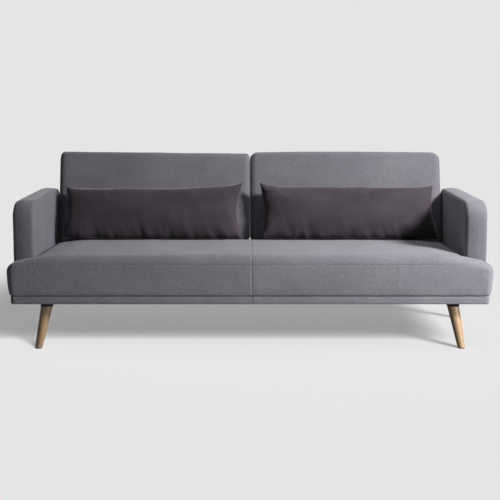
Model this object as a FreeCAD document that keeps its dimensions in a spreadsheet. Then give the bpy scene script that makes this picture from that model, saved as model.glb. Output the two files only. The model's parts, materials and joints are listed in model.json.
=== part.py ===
"""Click clack sofa bed: a two-part folding back, a T-shaped sprung seat, slab arms,
splayed tapered oak legs, ratchet hinges and two loose bolster cushions.

Millimetres. The floor is z = 0, +X is the sitter's left as seen from the front,
the front faces -Y, and the origin is on the floor under the middle of the sofa.
The back is drawn in a frame of its own: its origin is the hinge pivot, +Z runs up
along the panel and -Y is the padded front face. It is then tilted into place.
"""
import FreeCAD
import Part
import Sketcher
import math
import os

# Driving dimensions, in millimetres unless the name ends in angle or count.
DIMENSIONS = {
    "half_width": 980,
    "front_y": -435,
    "base_height": 187,
    "border_top": 222,
    "seat_top": 385,
    "wing_depth": 135,
    "deck_half_width": 886,
    "seat_rear_y": 181,
    "pad_flare": 12,
    "pad_corner_radius": 32,
    "pad_tight_radius": 9,
    "pad_edge_radius": 28,
    "skin": 2,
    "frame_margin": 20,
    "board": 25,
    "rail_base_z": 191,
    "rail_top_z": 282,
    "void_top_z": 290,
    "side_rail_outer_x": 876.3,
    "centre_rail_x": 3.3,
    "spring_wire_radius": 1.9,
    "spring_bend_radius": 24,
    "spring_straight": 18,
    "arm_inner_x": 888,
    "arm_thickness": 88,
    "arm_front_y": -297,
    "arm_length": 640,
    "arm_top": 612,
    "arm_fall": 20,
    "arm_front_radius": 72,
    "arm_rear_radius": 45,
    "arm_edge_radius": 14,
    "arm_core_inset_x": 10,
    "arm_core_inset_top": 26,
    "arm_core_inset_rear": 14,
    "arm_bolt_z": 236,
    "arm_bolt_radius": 4,
    "leg_top_radius": 25,
    "leg_foot_radius": 14.5,
    "leg_front_x": 828,
    "leg_front_y": -347,
    "leg_rear_x": 928,
    "leg_rear_y": 268,
    "leg_splay": 35,
    "leg_cap_height": 17,
    "leg_cap_radius": 27,
    "glide_height": 4,
    "pivot_y": 245.5,
    "pivot_z": 325,
    "lean_angle": 15,
    "back_face": 60,
    "back_thickness": 130,
    "back_below": 30,
    "back_above": 458,
    "back_inner_x": 7.5,
    "back_outer_x": 872,
    "back_corner_radius": 20,
    "back_toe_radius": 30,
    "back_core_front": 41,
    "back_core_top": 24,
    "stile": 28,
    "plate_thickness": 3,
    "plate_gap": 0.3,
    "pivot_radius": 5,
    "wheel_tip_radius": 30,
    "wheel_root_radius": 26,
    "tooth_pitch_angle": 15,
    "tooth_count": 8,
    "tooth_width_angle": 9,
    "first_tooth_angle": 203,
    "strap_length": 190,
    "strap_width": 38,
    "pawl_pin_radius": 41,
    "pawl_pin_angle": 172,
    "pawl_nose_angle": 215,
    "pawl_lift_angle": 10,
    "bolt_radius": 3,
    "cushion_length": 802,
    "cushion_height": 255,
    "cushion_thickness": 130,
    "cushion_centre_x": 440,
    "cushion_gap": 1.0,
    "cushion_foot": 30.5,
}

CLEAR = 0.05  # running clearance on a radius

doc = FreeCAD.newDocument("click_clack_sofa_bed")
sheet = doc.addObject("Spreadsheet::Sheet", "Sizes")
for row, (alias, number) in enumerate(DIMENSIONS.items(), start=1):
    sheet.set(f"A{row}", alias)
    sheet.set(f"B{row}", str(number))
    sheet.setAlias(f"B{row}", alias)
doc.recompute()


class Size:
    """A length together with the sheet expression that drives it."""

    def __init__(self, value, text):
        self.value = float(value)
        self.text = text

    def __add__(self, other):
        other = size(other)
        return Size(self.value + other.value, f"({self.text} + {other.text})")

    def __sub__(self, other):
        other = size(other)
        return Size(self.value - other.value, f"({self.text} - {other.text})")

    def __rsub__(self, other):
        return size(other) - self

    def __mul__(self, factor):
        return Size(self.value * factor, f"({self.text} * {factor})")

    def __truediv__(self, divisor):
        return Size(self.value / divisor, f"({self.text} / {divisor})")

    def __neg__(self):
        return Size(-self.value, f"(-1 * {self.text})")


def size(number):
    return number if isinstance(number, Size) else Size(number, f"({float(number)})")


def dim(alias):
    return Size(DIMENSIONS[alias], f"Sizes.{alias}")


def polar(radius, angle, axis):
    """One coordinate of a point at an angle in degrees: axis 0 is across, 1 is up."""
    word, function = (("cos", math.cos), ("sin", math.sin))[axis]
    value = radius.value * function(math.radians(angle))
    return Size(value, f"({radius.text} * {word}({angle} deg))")


def bind(thing, path, number):
    number = size(number)
    thing.setExpression(path, number.text)


def bind_place(thing, x=0, y=0, z=0):
    for axis, number in zip("xyz", (x, y, z)):
        bind(thing, f"Placement.Base.{axis}", number)


# Plain solids

def block(x, y, z, name="block"):
    """A box between two bounds on each axis."""
    made = doc.addObject("Part::Box", name)
    for prop, bounds in (("Length", x), ("Width", y), ("Height", z)):
        bind(made, prop, size(bounds[1]) - bounds[0])
    bind_place(made, x[0], y[0], z[0])
    return made


def rod_x(radius, x, y, z, name="rod"):
    """A round bar lying along X, from x[0] to x[1]."""
    made = doc.addObject("Part::Cylinder", name)
    bind(made, "Radius", radius)
    bind(made, "Height", size(x[1]) - x[0])
    made.Placement.Rotation = FreeCAD.Rotation(FreeCAD.Vector(0, 1, 0), 90)
    bind_place(made, x[0], y, z)
    return made


def fuse(parts, name="fuse"):
    made = doc.addObject("Part::MultiFuse", name)
    made.Shapes = parts
    made.Refine = True
    return made


def group(parts, name="group"):
    made = doc.addObject("Part::Compound", name)
    made.Links = parts
    return made


def cut(base, tools, name="cut"):
    made = doc.addObject("Part::Cut", name)
    made.Base = base
    made.Tool = tools[0] if len(tools) == 1 else fuse(tools)
    return made


def common(base, tool, name="common"):
    made = doc.addObject("Part::Common", name)
    made.Base = base
    made.Tool = tool
    return made


def mirror(source, name="mirror"):
    """The same thing on the other side of the sofa's middle plane."""
    made = doc.addObject("Part::Mirroring", name)
    made.Source = source
    made.Normal = FreeCAD.Vector(1, 0, 0)
    return made


# Sketched solids

def new_body(name):
    return doc.addObject("PartDesign::Body", name)


def origin_part(body, role):
    return [f for f in body.Origin.OriginFeatures if f.Role == role][0]


def attach(body, sketch, plane, offset=None):
    sketch.AttachmentSupport = (origin_part(body, plane), [""])
    sketch.MapMode = "FlatFace"
    if offset is not None:
        sketch.AttachmentOffset.Base = FreeCAD.Vector(0, 0, offset.value)
        bind(sketch, "AttachmentOffset.Base.z", offset)


def pin_point(sketch, geometry, end, point):
    """Ties one end of a line to a place measured from the sketch's origin."""
    for word, number in zip(("DistanceX", "DistanceY"), point):
        number = size(number)
        k = sketch.addConstraint(
            Sketcher.Constraint(word, -1, 1, geometry, end, number.value))
        sketch.setExpression(f"Constraints[{k}]", number.text)


def add_loop(sketch, points):
    """A closed outline of straight lines through the points."""
    first = sketch.GeometryCount
    count = len(points)
    flat = [FreeCAD.Vector(size(a).value, size(b).value, 0) for a, b in points]
    for i in range(count):
        sketch.addGeometry(Part.LineSegment(flat[i], flat[(i + 1) % count]))
    for i in range(count):
        sketch.addConstraint(Sketcher.Constraint(
            "Coincident", first + i, 2, first + (i + 1) % count, 1))
    for i, point in enumerate(points):
        pin_point(sketch, first + i, 1, point)


def add_circle(sketch, radius, centre=(0, 0)):
    middle = FreeCAD.Vector(size(centre[0]).value, size(centre[1]).value, 0)
    k = sketch.addGeometry(Part.Circle(middle, FreeCAD.Vector(0, 0, 1), size(radius).value))
    c = sketch.addConstraint(Sketcher.Constraint("Radius", k, size(radius).value))
    sketch.setExpression(f"Constraints[{c}]", size(radius).text)
    pin_point(sketch, k, 3, centre)


def new_sketch(body, plane, offset=None):
    sketch = body.newObject("Sketcher::SketchObject", "outline")
    attach(body, sketch, plane, offset)
    return sketch


def pad(body, sketch, length, taper=None, kind="PartDesign::Pad"):
    made = body.newObject(kind, "pad")
    made.Profile = sketch
    bind(made, "Length", length)
    if taper is not None:
        bind(made, "TaperAngle", taper)
    doc.recompute()
    return made


def round_edges(body, feature, radius, wanted):
    """Fillets the edges of a feature that the wanted() test picks."""
    names = [f"Edge{i}" for i, edge in enumerate(feature.Shape.Edges, start=1) if wanted(edge)]
    made = body.newObject("PartDesign::Fillet", "rounding")
    made.Base = (feature, names)
    bind(made, "Radius", radius)
    doc.recompute()
    return made


def along(edge, axis):
    """True for a straight edge that runs along the axis, or nearly so."""
    chord = edge.Vertexes[-1].Point - edge.Vertexes[0].Point
    straight = edge.Length < chord.Length * 1.001
    return straight and abs(chord.dot(axis)) > 0.98 * chord.Length


def at_height(edge, z):
    return all(abs(v.Point.z - z) < 0.01 for v in edge.Vertexes)


X = FreeCAD.Vector(1, 0, 0)
Y = FreeCAD.Vector(0, 1, 0)
Z = FreeCAD.Vector(0, 0, 1)

NODES = []


def keep(thing, label):
    """Marks an object as one sub-part of the sofa."""
    thing.Label = label
    NODES.append(thing)
    return thing


def keep_pair(thing, label):
    """A sub-part on the right side and its mirror image on the left."""
    keep(thing, f"{label}_right")
    keep(mirror(thing), f"{label}_left")


# Seat

WING_BACK_Y = dim("front_y") + dim("wing_depth")
FRONT_Y = dim("front_y")


def seat_outline(margin):
    """The T of the seat seen from above, drawn in by a margin."""
    wide = dim("half_width") - margin
    deck = dim("deck_half_width") - margin
    front = FRONT_Y + margin
    wing = WING_BACK_Y - margin
    rear = dim("seat_rear_y") - margin
    return [(wide, front), (wide, wing), (deck, wing), (deck, rear),
            (-deck, rear), (-deck, wing), (-wide, wing), (-wide, front)]


def seat_form(name, margin, bottom, top, corner, tight, edge=None, rim_on_top=True, flare=None):
    """A T-shaped slab: wide wing corners, tighter deck corners, and one rounded rim."""
    body = new_body(name)
    sketch = new_sketch(body, "XY_Plane")
    add_loop(sketch, seat_outline(margin))
    height = size(top) - bottom
    taper = None
    if flare is not None:
        angle = math.degrees(math.atan(flare.value / height.value))
        taper = Size(angle, f"atan({flare.text} / {height.text})")
    slab = pad(body, sketch, height, taper)
    def upright(edge):
        return abs(edge.Vertexes[0].Point.z - edge.Vertexes[-1].Point.z) > 1

    def on_wing(edge):
        return abs(edge.Vertexes[0].Point.x) > dim("deck_half_width").value + 10

    wing = round_edges(body, slab, corner, lambda e: upright(e) and on_wing(e))
    deck = round_edges(body, wing, tight,
                       lambda e: upright(e) and not on_wing(e) and along(e, Z))
    if edge is not None:
        rim = height.value if rim_on_top else 0
        round_edges(body, deck, edge, lambda e: at_height(e, rim))
    bind_place(body, 0, 0, bottom)
    return body


def arm_side_cutters(inner_x, bottom, top):
    """Boxes that open a seat cover beside the arms and where the side rails pass."""
    heights = (bottom, top)
    beside = block((inner_x, inner_x + 40), (WING_BACK_Y + 1, dim("seat_rear_y") + 20), heights)
    rail_slot = block((size(inner_x), dim("side_rail_outer_x") + 0.6),
                      (WING_BACK_Y - 20, WING_BACK_Y + 2), heights)
    return [beside, mirror(beside), rail_slot, mirror(rail_slot)]


def seat_upholstery():
    skin = dim("skin")
    flare = dim("pad_flare")
    bottom = dim("border_top")
    top = dim("seat_top")
    corner = dim("pad_corner_radius")
    tight = dim("pad_tight_radius")
    edge = dim("pad_edge_radius")
    outer = seat_form("pad_outer", flare, bottom, top, corner, tight, edge, True, flare)
    inner = seat_form("pad_inner", flare + skin, bottom, top - skin,
                      corner - skin, tight - skin, edge - skin, True, flare)

    margin = dim("frame_margin") - 0.3
    void_top = dim("void_top_z")
    wing_void = block((-(dim("half_width") - margin), dim("half_width") - margin),
                      (FRONT_Y + margin, WING_BACK_Y - margin), (bottom - 5, void_top))
    deck_void = block((-(dim("deck_half_width") + 4), dim("deck_half_width") + 4),
                      (WING_BACK_Y - margin - 1, dim("seat_rear_y") - margin),
                      (bottom - 5, void_top))
    side_voids = arm_side_cutters(868, dim("border_top") - 5, void_top)
    plate_slot = block((-4.5, 4.5), (140, 200), (dim("border_top") - 5, void_top))
    keep(cut(inner, [wing_void, deck_void, plate_slot] + side_voids), "seat_foam")

    openings = arm_side_cutters(868, dim("border_top") - 5, void_top)
    cover_slot = block((-4.5, 4.5), (140, 200), (dim("border_top") - 5, void_top))
    keep(cut(outer, [inner, cover_slot] + openings), "seat_cover")


def seat_border():
    """The narrow band below the piped seam, turned in under the rails."""
    skin = dim("skin")
    margin = dim("pad_flare") + 4
    low = dim("base_height")
    top = dim("border_top") - 0.2
    corner = dim("pad_corner_radius") - 4
    tight = dim("pad_tight_radius") - 2
    outer = seat_form("band_outer", margin, low, top, corner, tight, size(5), False)
    inner = seat_form("band_inner", margin + skin, low + skin, top + 1, corner - skin,
                      tight - skin, size(3), False)
    wing_gap = block((-920, 920), (FRONT_Y + 55, WING_BACK_Y - 45), (low - 5, low + 5))
    deck_gap = block((-850, 850), (WING_BACK_Y - 60, dim("seat_rear_y") - 50),
                     (low - 5, low + 5))
    sides = arm_side_cutters(860, low - 5, top + 5)
    foot = doc.addObject("Part::Cylinder", "foot_hole")
    bind(foot, "Radius", dim("leg_cap_radius") + 2.5)
    foot.Height = 20
    bind_place(foot, dim("leg_front_x") + 1, dim("leg_front_y") - 1, low - 10)
    keep(cut(outer, [inner, wing_gap, deck_gap, foot, mirror(foot)] + sides), "seat_border")


def seat_frame():
    board = dim("board")
    margin = dim("frame_margin")
    heights = (dim("rail_base_z"), dim("rail_top_z"))
    end_x = dim("half_width") - margin
    side_x = dim("side_rail_outer_x")
    front = FRONT_Y + margin
    rear = dim("seat_rear_y") - margin
    wing_rear = WING_BACK_Y - margin
    centre = dim("centre_rail_x")

    margin = dim("pad_flare") + 6.4
    envelope = seat_form("frame_limit", margin, dim("rail_base_z"), dim("rail_top_z"),
                         dim("pad_corner_radius") - 6.4, dim("pad_tight_radius") - 4.4)

    front_rail = block((-end_x, end_x), (front, front + board), heights)
    keep(common(front_rail, envelope), "seat_front_rail")
    rear_right = block((centre + board, side_x - board), (rear - board, rear), heights)
    keep(group([rear_right, mirror(rear_right)]), "seat_rear_rails")

    rail = block((side_x - board, side_x), (front + board, rear), heights)
    holes = [rod_x(dim("arm_bolt_radius") + 0.2, (840, 890), y, dim("arm_bolt_z"))
             for y in ARM_BOLTS_Y]
    holes += [rod_x(dim("bolt_radius") + CLEAR, (840, 890), dim("pivot_y") + y, PLATE_BOLT_Z)
              for y in PLATE_BOLTS]
    side_rail = cut(rail, holes)
    keep(group([side_rail, mirror(side_rail)]), "seat_side_rails")

    middle = block((centre, centre + board), (front + board, rear), heights)
    holes = [rod_x(dim("bolt_radius") + CLEAR, (0, 40), dim("pivot_y") + y, PLATE_BOLT_Z)
             for y in PLATE_BOLTS]
    middle = cut(middle, holes)
    keep(group([middle, mirror(middle)]), "seat_centre_rails")

    cheek = block((end_x - board, end_x), (front + board, wing_rear), heights)
    wing_back = block((side_x, end_x - board), (wing_rear - board, wing_rear), heights)
    wing_boards = group([cheek, wing_back, mirror(cheek), mirror(wing_back)])
    keep(common(wing_boards, envelope), "seat_wing_boards")

    fabric_x = end_x - 12
    cloth = (dim("rail_base_z") - 0.8, dim("rail_base_z"))
    dust_wing = block((-fabric_x, fabric_x), (front + 12, wing_rear - 8), cloth)
    dust_deck = block((-(side_x - 8), side_x - 8), (wing_rear - 20, rear - 8), cloth)
    bolt_hole = doc.addObject("Part::Cylinder", "bolt_hole")
    bind(bolt_hole, "Radius", dim("arm_bolt_radius") + 1.5)
    bolt_hole.Height = 20
    bind_place(bolt_hole, dim("leg_front_x"), dim("leg_front_y"), dim("base_height") - 8)
    sheet_flat = fuse([dust_wing, dust_deck])
    keep(cut(sheet_flat, [bolt_hole, mirror(bolt_hole)]), "seat_dust_cover")


def zigzag_path(start_y, end_y, nominal_bend, straight):
    """A spring's centreline: bars across X joined by half circles, flat in XY."""
    bends = round((end_y - start_y) / (2 * nominal_bend))
    bend = (end_y - start_y) / (2 * bends)
    edges = []
    side = 1
    y = start_y
    for _ in range(bends):
        a = FreeCAD.Vector(-side * straight / 2, y, 0)
        b = FreeCAD.Vector(side * straight / 2, y, 0)
        crown = FreeCAD.Vector(side * (straight / 2 + bend), y + bend, 0)
        c = FreeCAD.Vector(side * straight / 2, y + 2 * bend, 0)
        edges.append(Part.makeLine(a, b))
        edges.append(Part.Arc(b, crown, c).toShape())
        side = -side
        y += 2 * bend
    edges.append(Part.makeLine(FreeCAD.Vector(-side * straight / 2, y, 0),
                               FreeCAD.Vector(side * straight / 2, y, 0)))
    return Part.Wire(edges)


SPRING_COLUMNS = 3  # springs on each side of the middle


def seat_springs():
    wire = dim("spring_wire_radius")
    front = FRONT_Y + dim("frame_margin") + dim("board") / 2
    rear = dim("seat_rear_y") - dim("frame_margin") - dim("board") / 2
    straight = dim("spring_straight")
    path = zigzag_path(front.value, rear.value, DIMENSIONS["spring_bend_radius"],
                       straight.value)
    start = FreeCAD.Vector(-straight.value / 2, front.value, 0)
    ring = Part.Wire(Part.makeCircle(wire.value, start, X))
    shape = path.makePipeShell([ring], True, False, 1)
    span = DIMENSIONS["side_rail_outer_x"] - 2 * DIMENSIONS["board"]
    z = DIMENSIONS["rail_top_z"] + wire.value + 1
    springs, clips = [], []
    for side in (1, -1):
        for i in range(SPRING_COLUMNS):
            x = side * (DIMENSIONS["board"] + span * (i + 0.5) / SPRING_COLUMNS)
            spring = doc.addObject("Part::Feature", "spring")
            spring.Shape = shape
            spring.Placement = FreeCAD.Placement(FreeCAD.Vector(x, 0, z), FreeCAD.Rotation())
            springs.append(spring)
            for y in (front, rear):
                clip = block((x - 6, x + 6), (y - 7, y + 7), (dim("rail_top_z"), z + 3.6))
                slot = block((x - 10, x + 10), (y - 3.5, y + 3.5),
                             (dim("rail_top_z") + 0.9, z + 2.3))
                clips.append(cut(clip, [slot]))
    keep(group(springs), "seat_springs")
    keep(group(clips), "seat_spring_clips")
    margin = dim("frame_margin")
    reach = dim("side_rail_outer_x") - 10
    felt = block((-reach, reach), (FRONT_Y + margin + 8, dim("seat_rear_y") - margin - 8),
                 (dim("void_top_z") - 1.2, dim("void_top_z") - 0.2))
    keep(felt, "seat_insulator_felt")


# Arms

ARM_BOLTS_Y = (-262, -132, -2)


def arm_form(name, inset):
    """The slab arm: its top falls to the front, with round corners and soft long edges."""
    body = new_body(name)
    sketch = new_sketch(body, "YZ_Plane", dim("arm_inner_x") + inset)
    front = dim("arm_front_y") + inset
    rear = dim("arm_front_y") + dim("arm_length") - inset
    low = dim("base_height") + inset
    top = dim("arm_top") - inset
    front_height = top - dim("arm_fall")
    add_loop(sketch, [(front, low), (rear, low), (rear, top), (front, front_height)])
    slab = pad(body, sketch, dim("arm_thickness") - size(inset) * 2)
    front_top = round_edges(
        body, slab, dim("arm_front_radius") - inset,
        lambda e: along(e, X) and at_height(e, front_height.value))
    rear_top = round_edges(
        body, front_top, dim("arm_rear_radius") - inset,
        lambda e: along(e, X) and at_height(e, top.value)
        and e.Vertexes[0].Point.y > rear.value - 1)
    round_edges(
        body, rear_top, dim("arm_edge_radius") - inset,
        lambda e: not along(e, X) and not at_height(e, low.value))
    return body


def arm():
    skin = dim("skin")
    outer = arm_form("arm_outer", size(0))
    inner = arm_form("arm_inner", skin)
    core_x = (dim("arm_inner_x") + dim("arm_core_inset_x"),
              dim("arm_inner_x") + dim("arm_thickness") - dim("arm_core_inset_x"))
    front = dim("arm_front_y") + dim("arm_core_inset_top")
    rear = dim("arm_front_y") + dim("arm_length") - dim("arm_core_inset_rear")
    low = dim("base_height") + skin
    top = dim("arm_top") - dim("arm_fall") - dim("arm_core_inset_top")
    core = block(core_x, (front, rear), (low - 5, top))
    bolt_hole_radius = dim("arm_bolt_radius") + 0.2

    def bolt_holes():
        return [rod_x(bolt_hole_radius, (880, 945), y, dim("arm_bolt_z")) for y in ARM_BOLTS_Y]

    leg_hole = leg_bore(dim("arm_bolt_radius") + 0.3)
    keep_pair(cut(inner, [core] + bolt_holes()), "arm_foam")
    keep_pair(cut(outer, [inner, leg_hole] + bolt_holes()), "arm_cover")

    post = dim("board") * 2
    floor = dim("base_height") + skin + 0.2
    bottom_top = dim("rail_top_z")
    front_post = block(core_x, (front, front + post), (bottom_top, top - post))
    rear_post = block(core_x, (rear - post, rear), (bottom_top, top - post))
    top_rail = block(core_x, (front, rear), (top - post, top))
    bottom_rail = block(core_x, (front, rear), (floor, bottom_top))
    bottom_rail = cut(bottom_rail, bolt_holes() + [leg_bore(dim("arm_bolt_radius") + 0.1)])
    keep_pair(group([front_post, rear_post, top_rail, bottom_rail]), "arm_frame")

    side_x = dim("side_rail_outer_x")
    packers = []
    bolts = []
    for y in ARM_BOLTS_Y:
        packer = block((side_x, dim("arm_inner_x")), (size(y) - 30, size(y) + 30),
                       (dim("arm_bolt_z") - 30, dim("arm_bolt_z") + 30))
        hole = rod_x(bolt_hole_radius, (870, 890), y, dim("arm_bolt_z"))
        packers.append(cut(packer, [hole]))
        shank = rod_x(dim("arm_bolt_radius"), (side_x - dim("board"), 940), y, dim("arm_bolt_z"))
        head = rod_x(7, (side_x - dim("board") - 5.5, side_x - dim("board")), y,
                     dim("arm_bolt_z"))
        bolts.append(fuse([shank, head]))
    keep(group(packers + [mirror(p) for p in packers]), "arm_packers")
    keep(group(bolts + [mirror(b) for b in bolts]), "arm_bolts")


# Legs

def leg_axis(front):
    """Top centre and lean of a leg, as plain numbers for its placement."""
    word = "front" if front else "rear"
    x = DIMENSIONS[f"leg_{word}_x"]
    y = DIMENSIONS[f"leg_{word}_y"]
    top = FreeCAD.Vector(x, y, DIMENSIONS["base_height"])
    splay = DIMENSIONS["leg_splay"]
    foot = FreeCAD.Vector(x + splay, y - splay if front else y + splay, 0)
    return top, foot


def along_leg(thing, front, start=0.0):
    """Places a thing drawn upwards along Z so that it runs up the leg's axis."""
    top, foot = leg_axis(front)
    direction = top - foot
    direction.normalize()
    thing.Placement = FreeCAD.Placement(
        foot + direction * start, FreeCAD.Rotation(FreeCAD.Vector(0, 0, 1), direction))
    return thing


def leg_bore(radius):
    """The hole for the rear leg's hanger bolt, up into the arm's bottom rail."""
    made = doc.addObject("Part::Cylinder", "leg_bore")
    bind(made, "Radius", radius)
    made.Height = 100
    return along_leg(made, False, 150)


def tapered_leg(front):
    """A round oak leg turned to a taper and sawn level at both ends."""
    body = new_body("turned_leg")
    sketch = new_sketch(body, "XZ_Plane")
    overrun = 12
    length = dim("base_height") + 10
    slope = (DIMENSIONS["leg_top_radius"] - DIMENSIONS["leg_foot_radius"]) / length.value
    low = dim("leg_foot_radius") - slope * overrun
    high = dim("leg_top_radius") + slope * overrun
    add_loop(sketch, [(0, -overrun), (low, -overrun), (high, length + overrun),
                      (0, length + overrun)])
    turned = body.newObject("PartDesign::Revolution", "turning")
    turned.Profile = sketch
    turned.ReferenceAxis = (sketch, ["V_Axis"])
    turned.Angle = 360
    doc.recompute()
    along_leg(body, front)
    top, foot = leg_axis(front)
    reach = 70
    level = block((foot.x - reach - 35, foot.x + reach), (foot.y - reach, foot.y + reach),
                  (dim("glide_height"), dim("base_height") - dim("leg_cap_height")))
    bore = doc.addObject("Part::Cylinder", "bolt_bore")
    bind(bore, "Radius", dim("arm_bolt_radius") + CLEAR)
    bore.Height = 90
    along_leg(bore, front, 125)
    return cut(common(body, level), [bore])


def legs():
    caps, bolts, glides = [], [], []
    for front, word in ((True, "front"), (False, "rear")):
        keep_pair(tapered_leg(front), f"leg_{word}")
        top, foot = leg_axis(front)
        sleeve = doc.addObject("Part::Cone", "sleeve")
        bind(sleeve, "Radius1", dim("leg_cap_radius") - 3)
        bind(sleeve, "Radius2", dim("leg_cap_radius"))
        sleeve.Height = 60
        along_leg(sleeve, front, 150)
        level_top = dim("rail_base_z") - 0.8 if front else dim("base_height")
        slice_box = block((foot.x - 120, foot.x + 60), (foot.y - 90, foot.y + 90),
                          (dim("base_height") - dim("leg_cap_height"), level_top))
        bore = doc.addObject("Part::Cylinder", "cap_bore")
        bind(bore, "Radius", dim("arm_bolt_radius") + CLEAR)
        bore.Height = 100
        along_leg(bore, front, 140)
        cap = cut(common(sleeve, slice_box), [bore])
        caps += [cap, mirror(cap)]

        bolt = doc.addObject("Part::Cylinder", "hanger_bolt")
        bind(bolt, "Radius", dim("arm_bolt_radius"))
        bolt.Height = 80
        along_leg(bolt, front, 145)
        bolts += [bolt, mirror(bolt)]

        glide = doc.addObject("Part::Cylinder", "glide")
        glide.Radius = 13
        bind(glide, "Height", dim("glide_height"))
        bind_place(glide, foot.x, foot.y, 0)
        glides += [glide, mirror(glide)]
    keep(group(caps), "leg_caps")
    keep(group(bolts), "leg_hanger_bolts")
    keep(group(glides), "leg_glides")

    centre = (dim("leg_front_x"), dim("leg_front_y"))
    corner = block((centre[0] - 40, dim("side_rail_outer_x") - dim("board")),
                   (FRONT_Y + dim("frame_margin") + dim("board"), centre[1] + 40),
                   (dim("rail_base_z"), dim("rail_base_z") + 45))
    bore = doc.addObject("Part::Cylinder", "block_bore")
    bind(bore, "Radius", dim("arm_bolt_radius") + CLEAR)
    bore.Height = 120
    along_leg(bore, True, 140)
    corner = cut(corner, [bore])
    keep(group([corner, mirror(corner)]), "seat_leg_blocks")


# Folding back

LEAN = FreeCAD.Placement(
    FreeCAD.Vector(0, DIMENSIONS["pivot_y"], DIMENSIONS["pivot_z"]),
    FreeCAD.Rotation(FreeCAD.Vector(1, 0, 0), -DIMENSIONS["lean_angle"]))


def lean(thing):
    """Tilts something drawn in the back's own frame to the sofa position."""
    thing.Placement = LEAN
    return thing


def keep_back(thing, label):
    keep_pair(lean(thing), label)


def back_form(name, inset):
    """One half of the back: a padded slab with a well rounded toe and top."""
    body = new_body(name)
    sketch = new_sketch(body, "YZ_Plane", dim("back_inner_x") + inset)
    front = -dim("back_face") + inset
    rear = front + dim("back_thickness") - size(inset) * 2
    low = -dim("back_below") + inset
    top = dim("back_above") - inset
    add_loop(sketch, [(front, low), (rear, low), (rear, top), (front, top)])
    width = dim("back_outer_x") - dim("back_inner_x") - size(inset) * 2
    slab = pad(body, sketch, width)
    toe = round_edges(body, slab, dim("back_toe_radius") - inset,
                      lambda e: along(e, X) and at_height(e, low.value)
                      and e.Vertexes[0].Point.y < 0)
    corners = round_edges(body, toe, dim("back_corner_radius") + 6 - inset,
                          lambda e: along(e, Y) and at_height(e, top.value))
    rim = round_edges(body, corners, dim("back_corner_radius") - inset,
                      lambda e: all(abs(v.Point.y - front.value) < 0.01 for v in e.Vertexes)
                      and not (along(e, X) and e.Vertexes[0].Point.z < 50))
    round_edges(body, rim, 10 - inset,
                lambda e: all(abs(v.Point.y - rear.value) < 0.01 for v in e.Vertexes))
    return body


STRAP_BOLTS = (62, 115, 168)


def strap_bolt_holes(radius, outer):
    """Holes for the strap bolts through one side of the back."""
    x = (835, 880) if outer else (0, 42)
    return [rod_x(size(radius), x, 0, z) for z in STRAP_BOLTS]


def back_half():
    skin = dim("skin")
    outer = back_form("back_outer", size(0))
    inner = back_form("back_inner", skin)
    left = dim("back_inner_x") + skin
    right = dim("back_outer_x") - skin
    core_front = -dim("back_face") + dim("back_core_front")
    core_rear = -dim("back_face") + dim("back_thickness") - skin
    core_top = dim("back_above") - dim("back_core_top")
    core = block((left - 1, right + 1), (core_front, core_rear + 1),
                 (-dim("back_below"), core_top))
    keep_back(cut(inner, [core]), "back_foam")

    hole = dim("bolt_radius") + CLEAR
    cover_tools = [inner] + strap_bolt_holes(hole, True) + strap_bolt_holes(hole, False)
    keep_back(cut(outer, cover_tools), "back_cover")

    stile = dim("stile")
    depth = (core_front + 5, core_rear - 0.5)
    low = -dim("back_below") + 14
    high = core_top - 0.5
    envelope = back_form("back_envelope", skin + 0.3)
    outer_stile = cut(block((right - stile, right - 0.3), depth, (low, high)),
                      strap_bolt_holes(hole, True))
    inner_stile = cut(block((left + 0.3, left + stile), depth, (low, high)),
                      strap_bolt_holes(hole, False))
    middle_x = (left + right) / 2
    middle = block((middle_x - 12, middle_x + 12), depth, (low + stile, high - stile))
    stiles = [outer_stile, inner_stile, middle]
    rails = [block((left + stile, right - stile), depth, (low, low + stile)),
             block((left + stile, right - stile), depth, (high - stile, high))]
    keep_back(common(group(stiles), envelope), "back_stiles")
    keep_back(group(rails), "back_rails")

    bands = []
    for i in range(8):
        x = left + stile + (right - left - stile * 2) * ((i + 0.5) / 8)
        bands.append(block((x - 25, x + 25), (core_front + 3.6, core_front + 4.8),
                           (low + 3, high - 3)))
    for i in range(3):
        z = low + (high - low) * ((i + 0.75) / 3.5)
        bands.append(block((left + 4, right - 4), (core_front + 2.2, core_front + 3.4),
                           (z - 25, z + 25)))
    keep_back(group(bands), "back_webbing")


# Ratchet hinges

PLATE_BOLTS = (-193, -157, -121)  # along Y from the pivot
PLATE_BOLT_Z = dim("pivot_z") - 77


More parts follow.
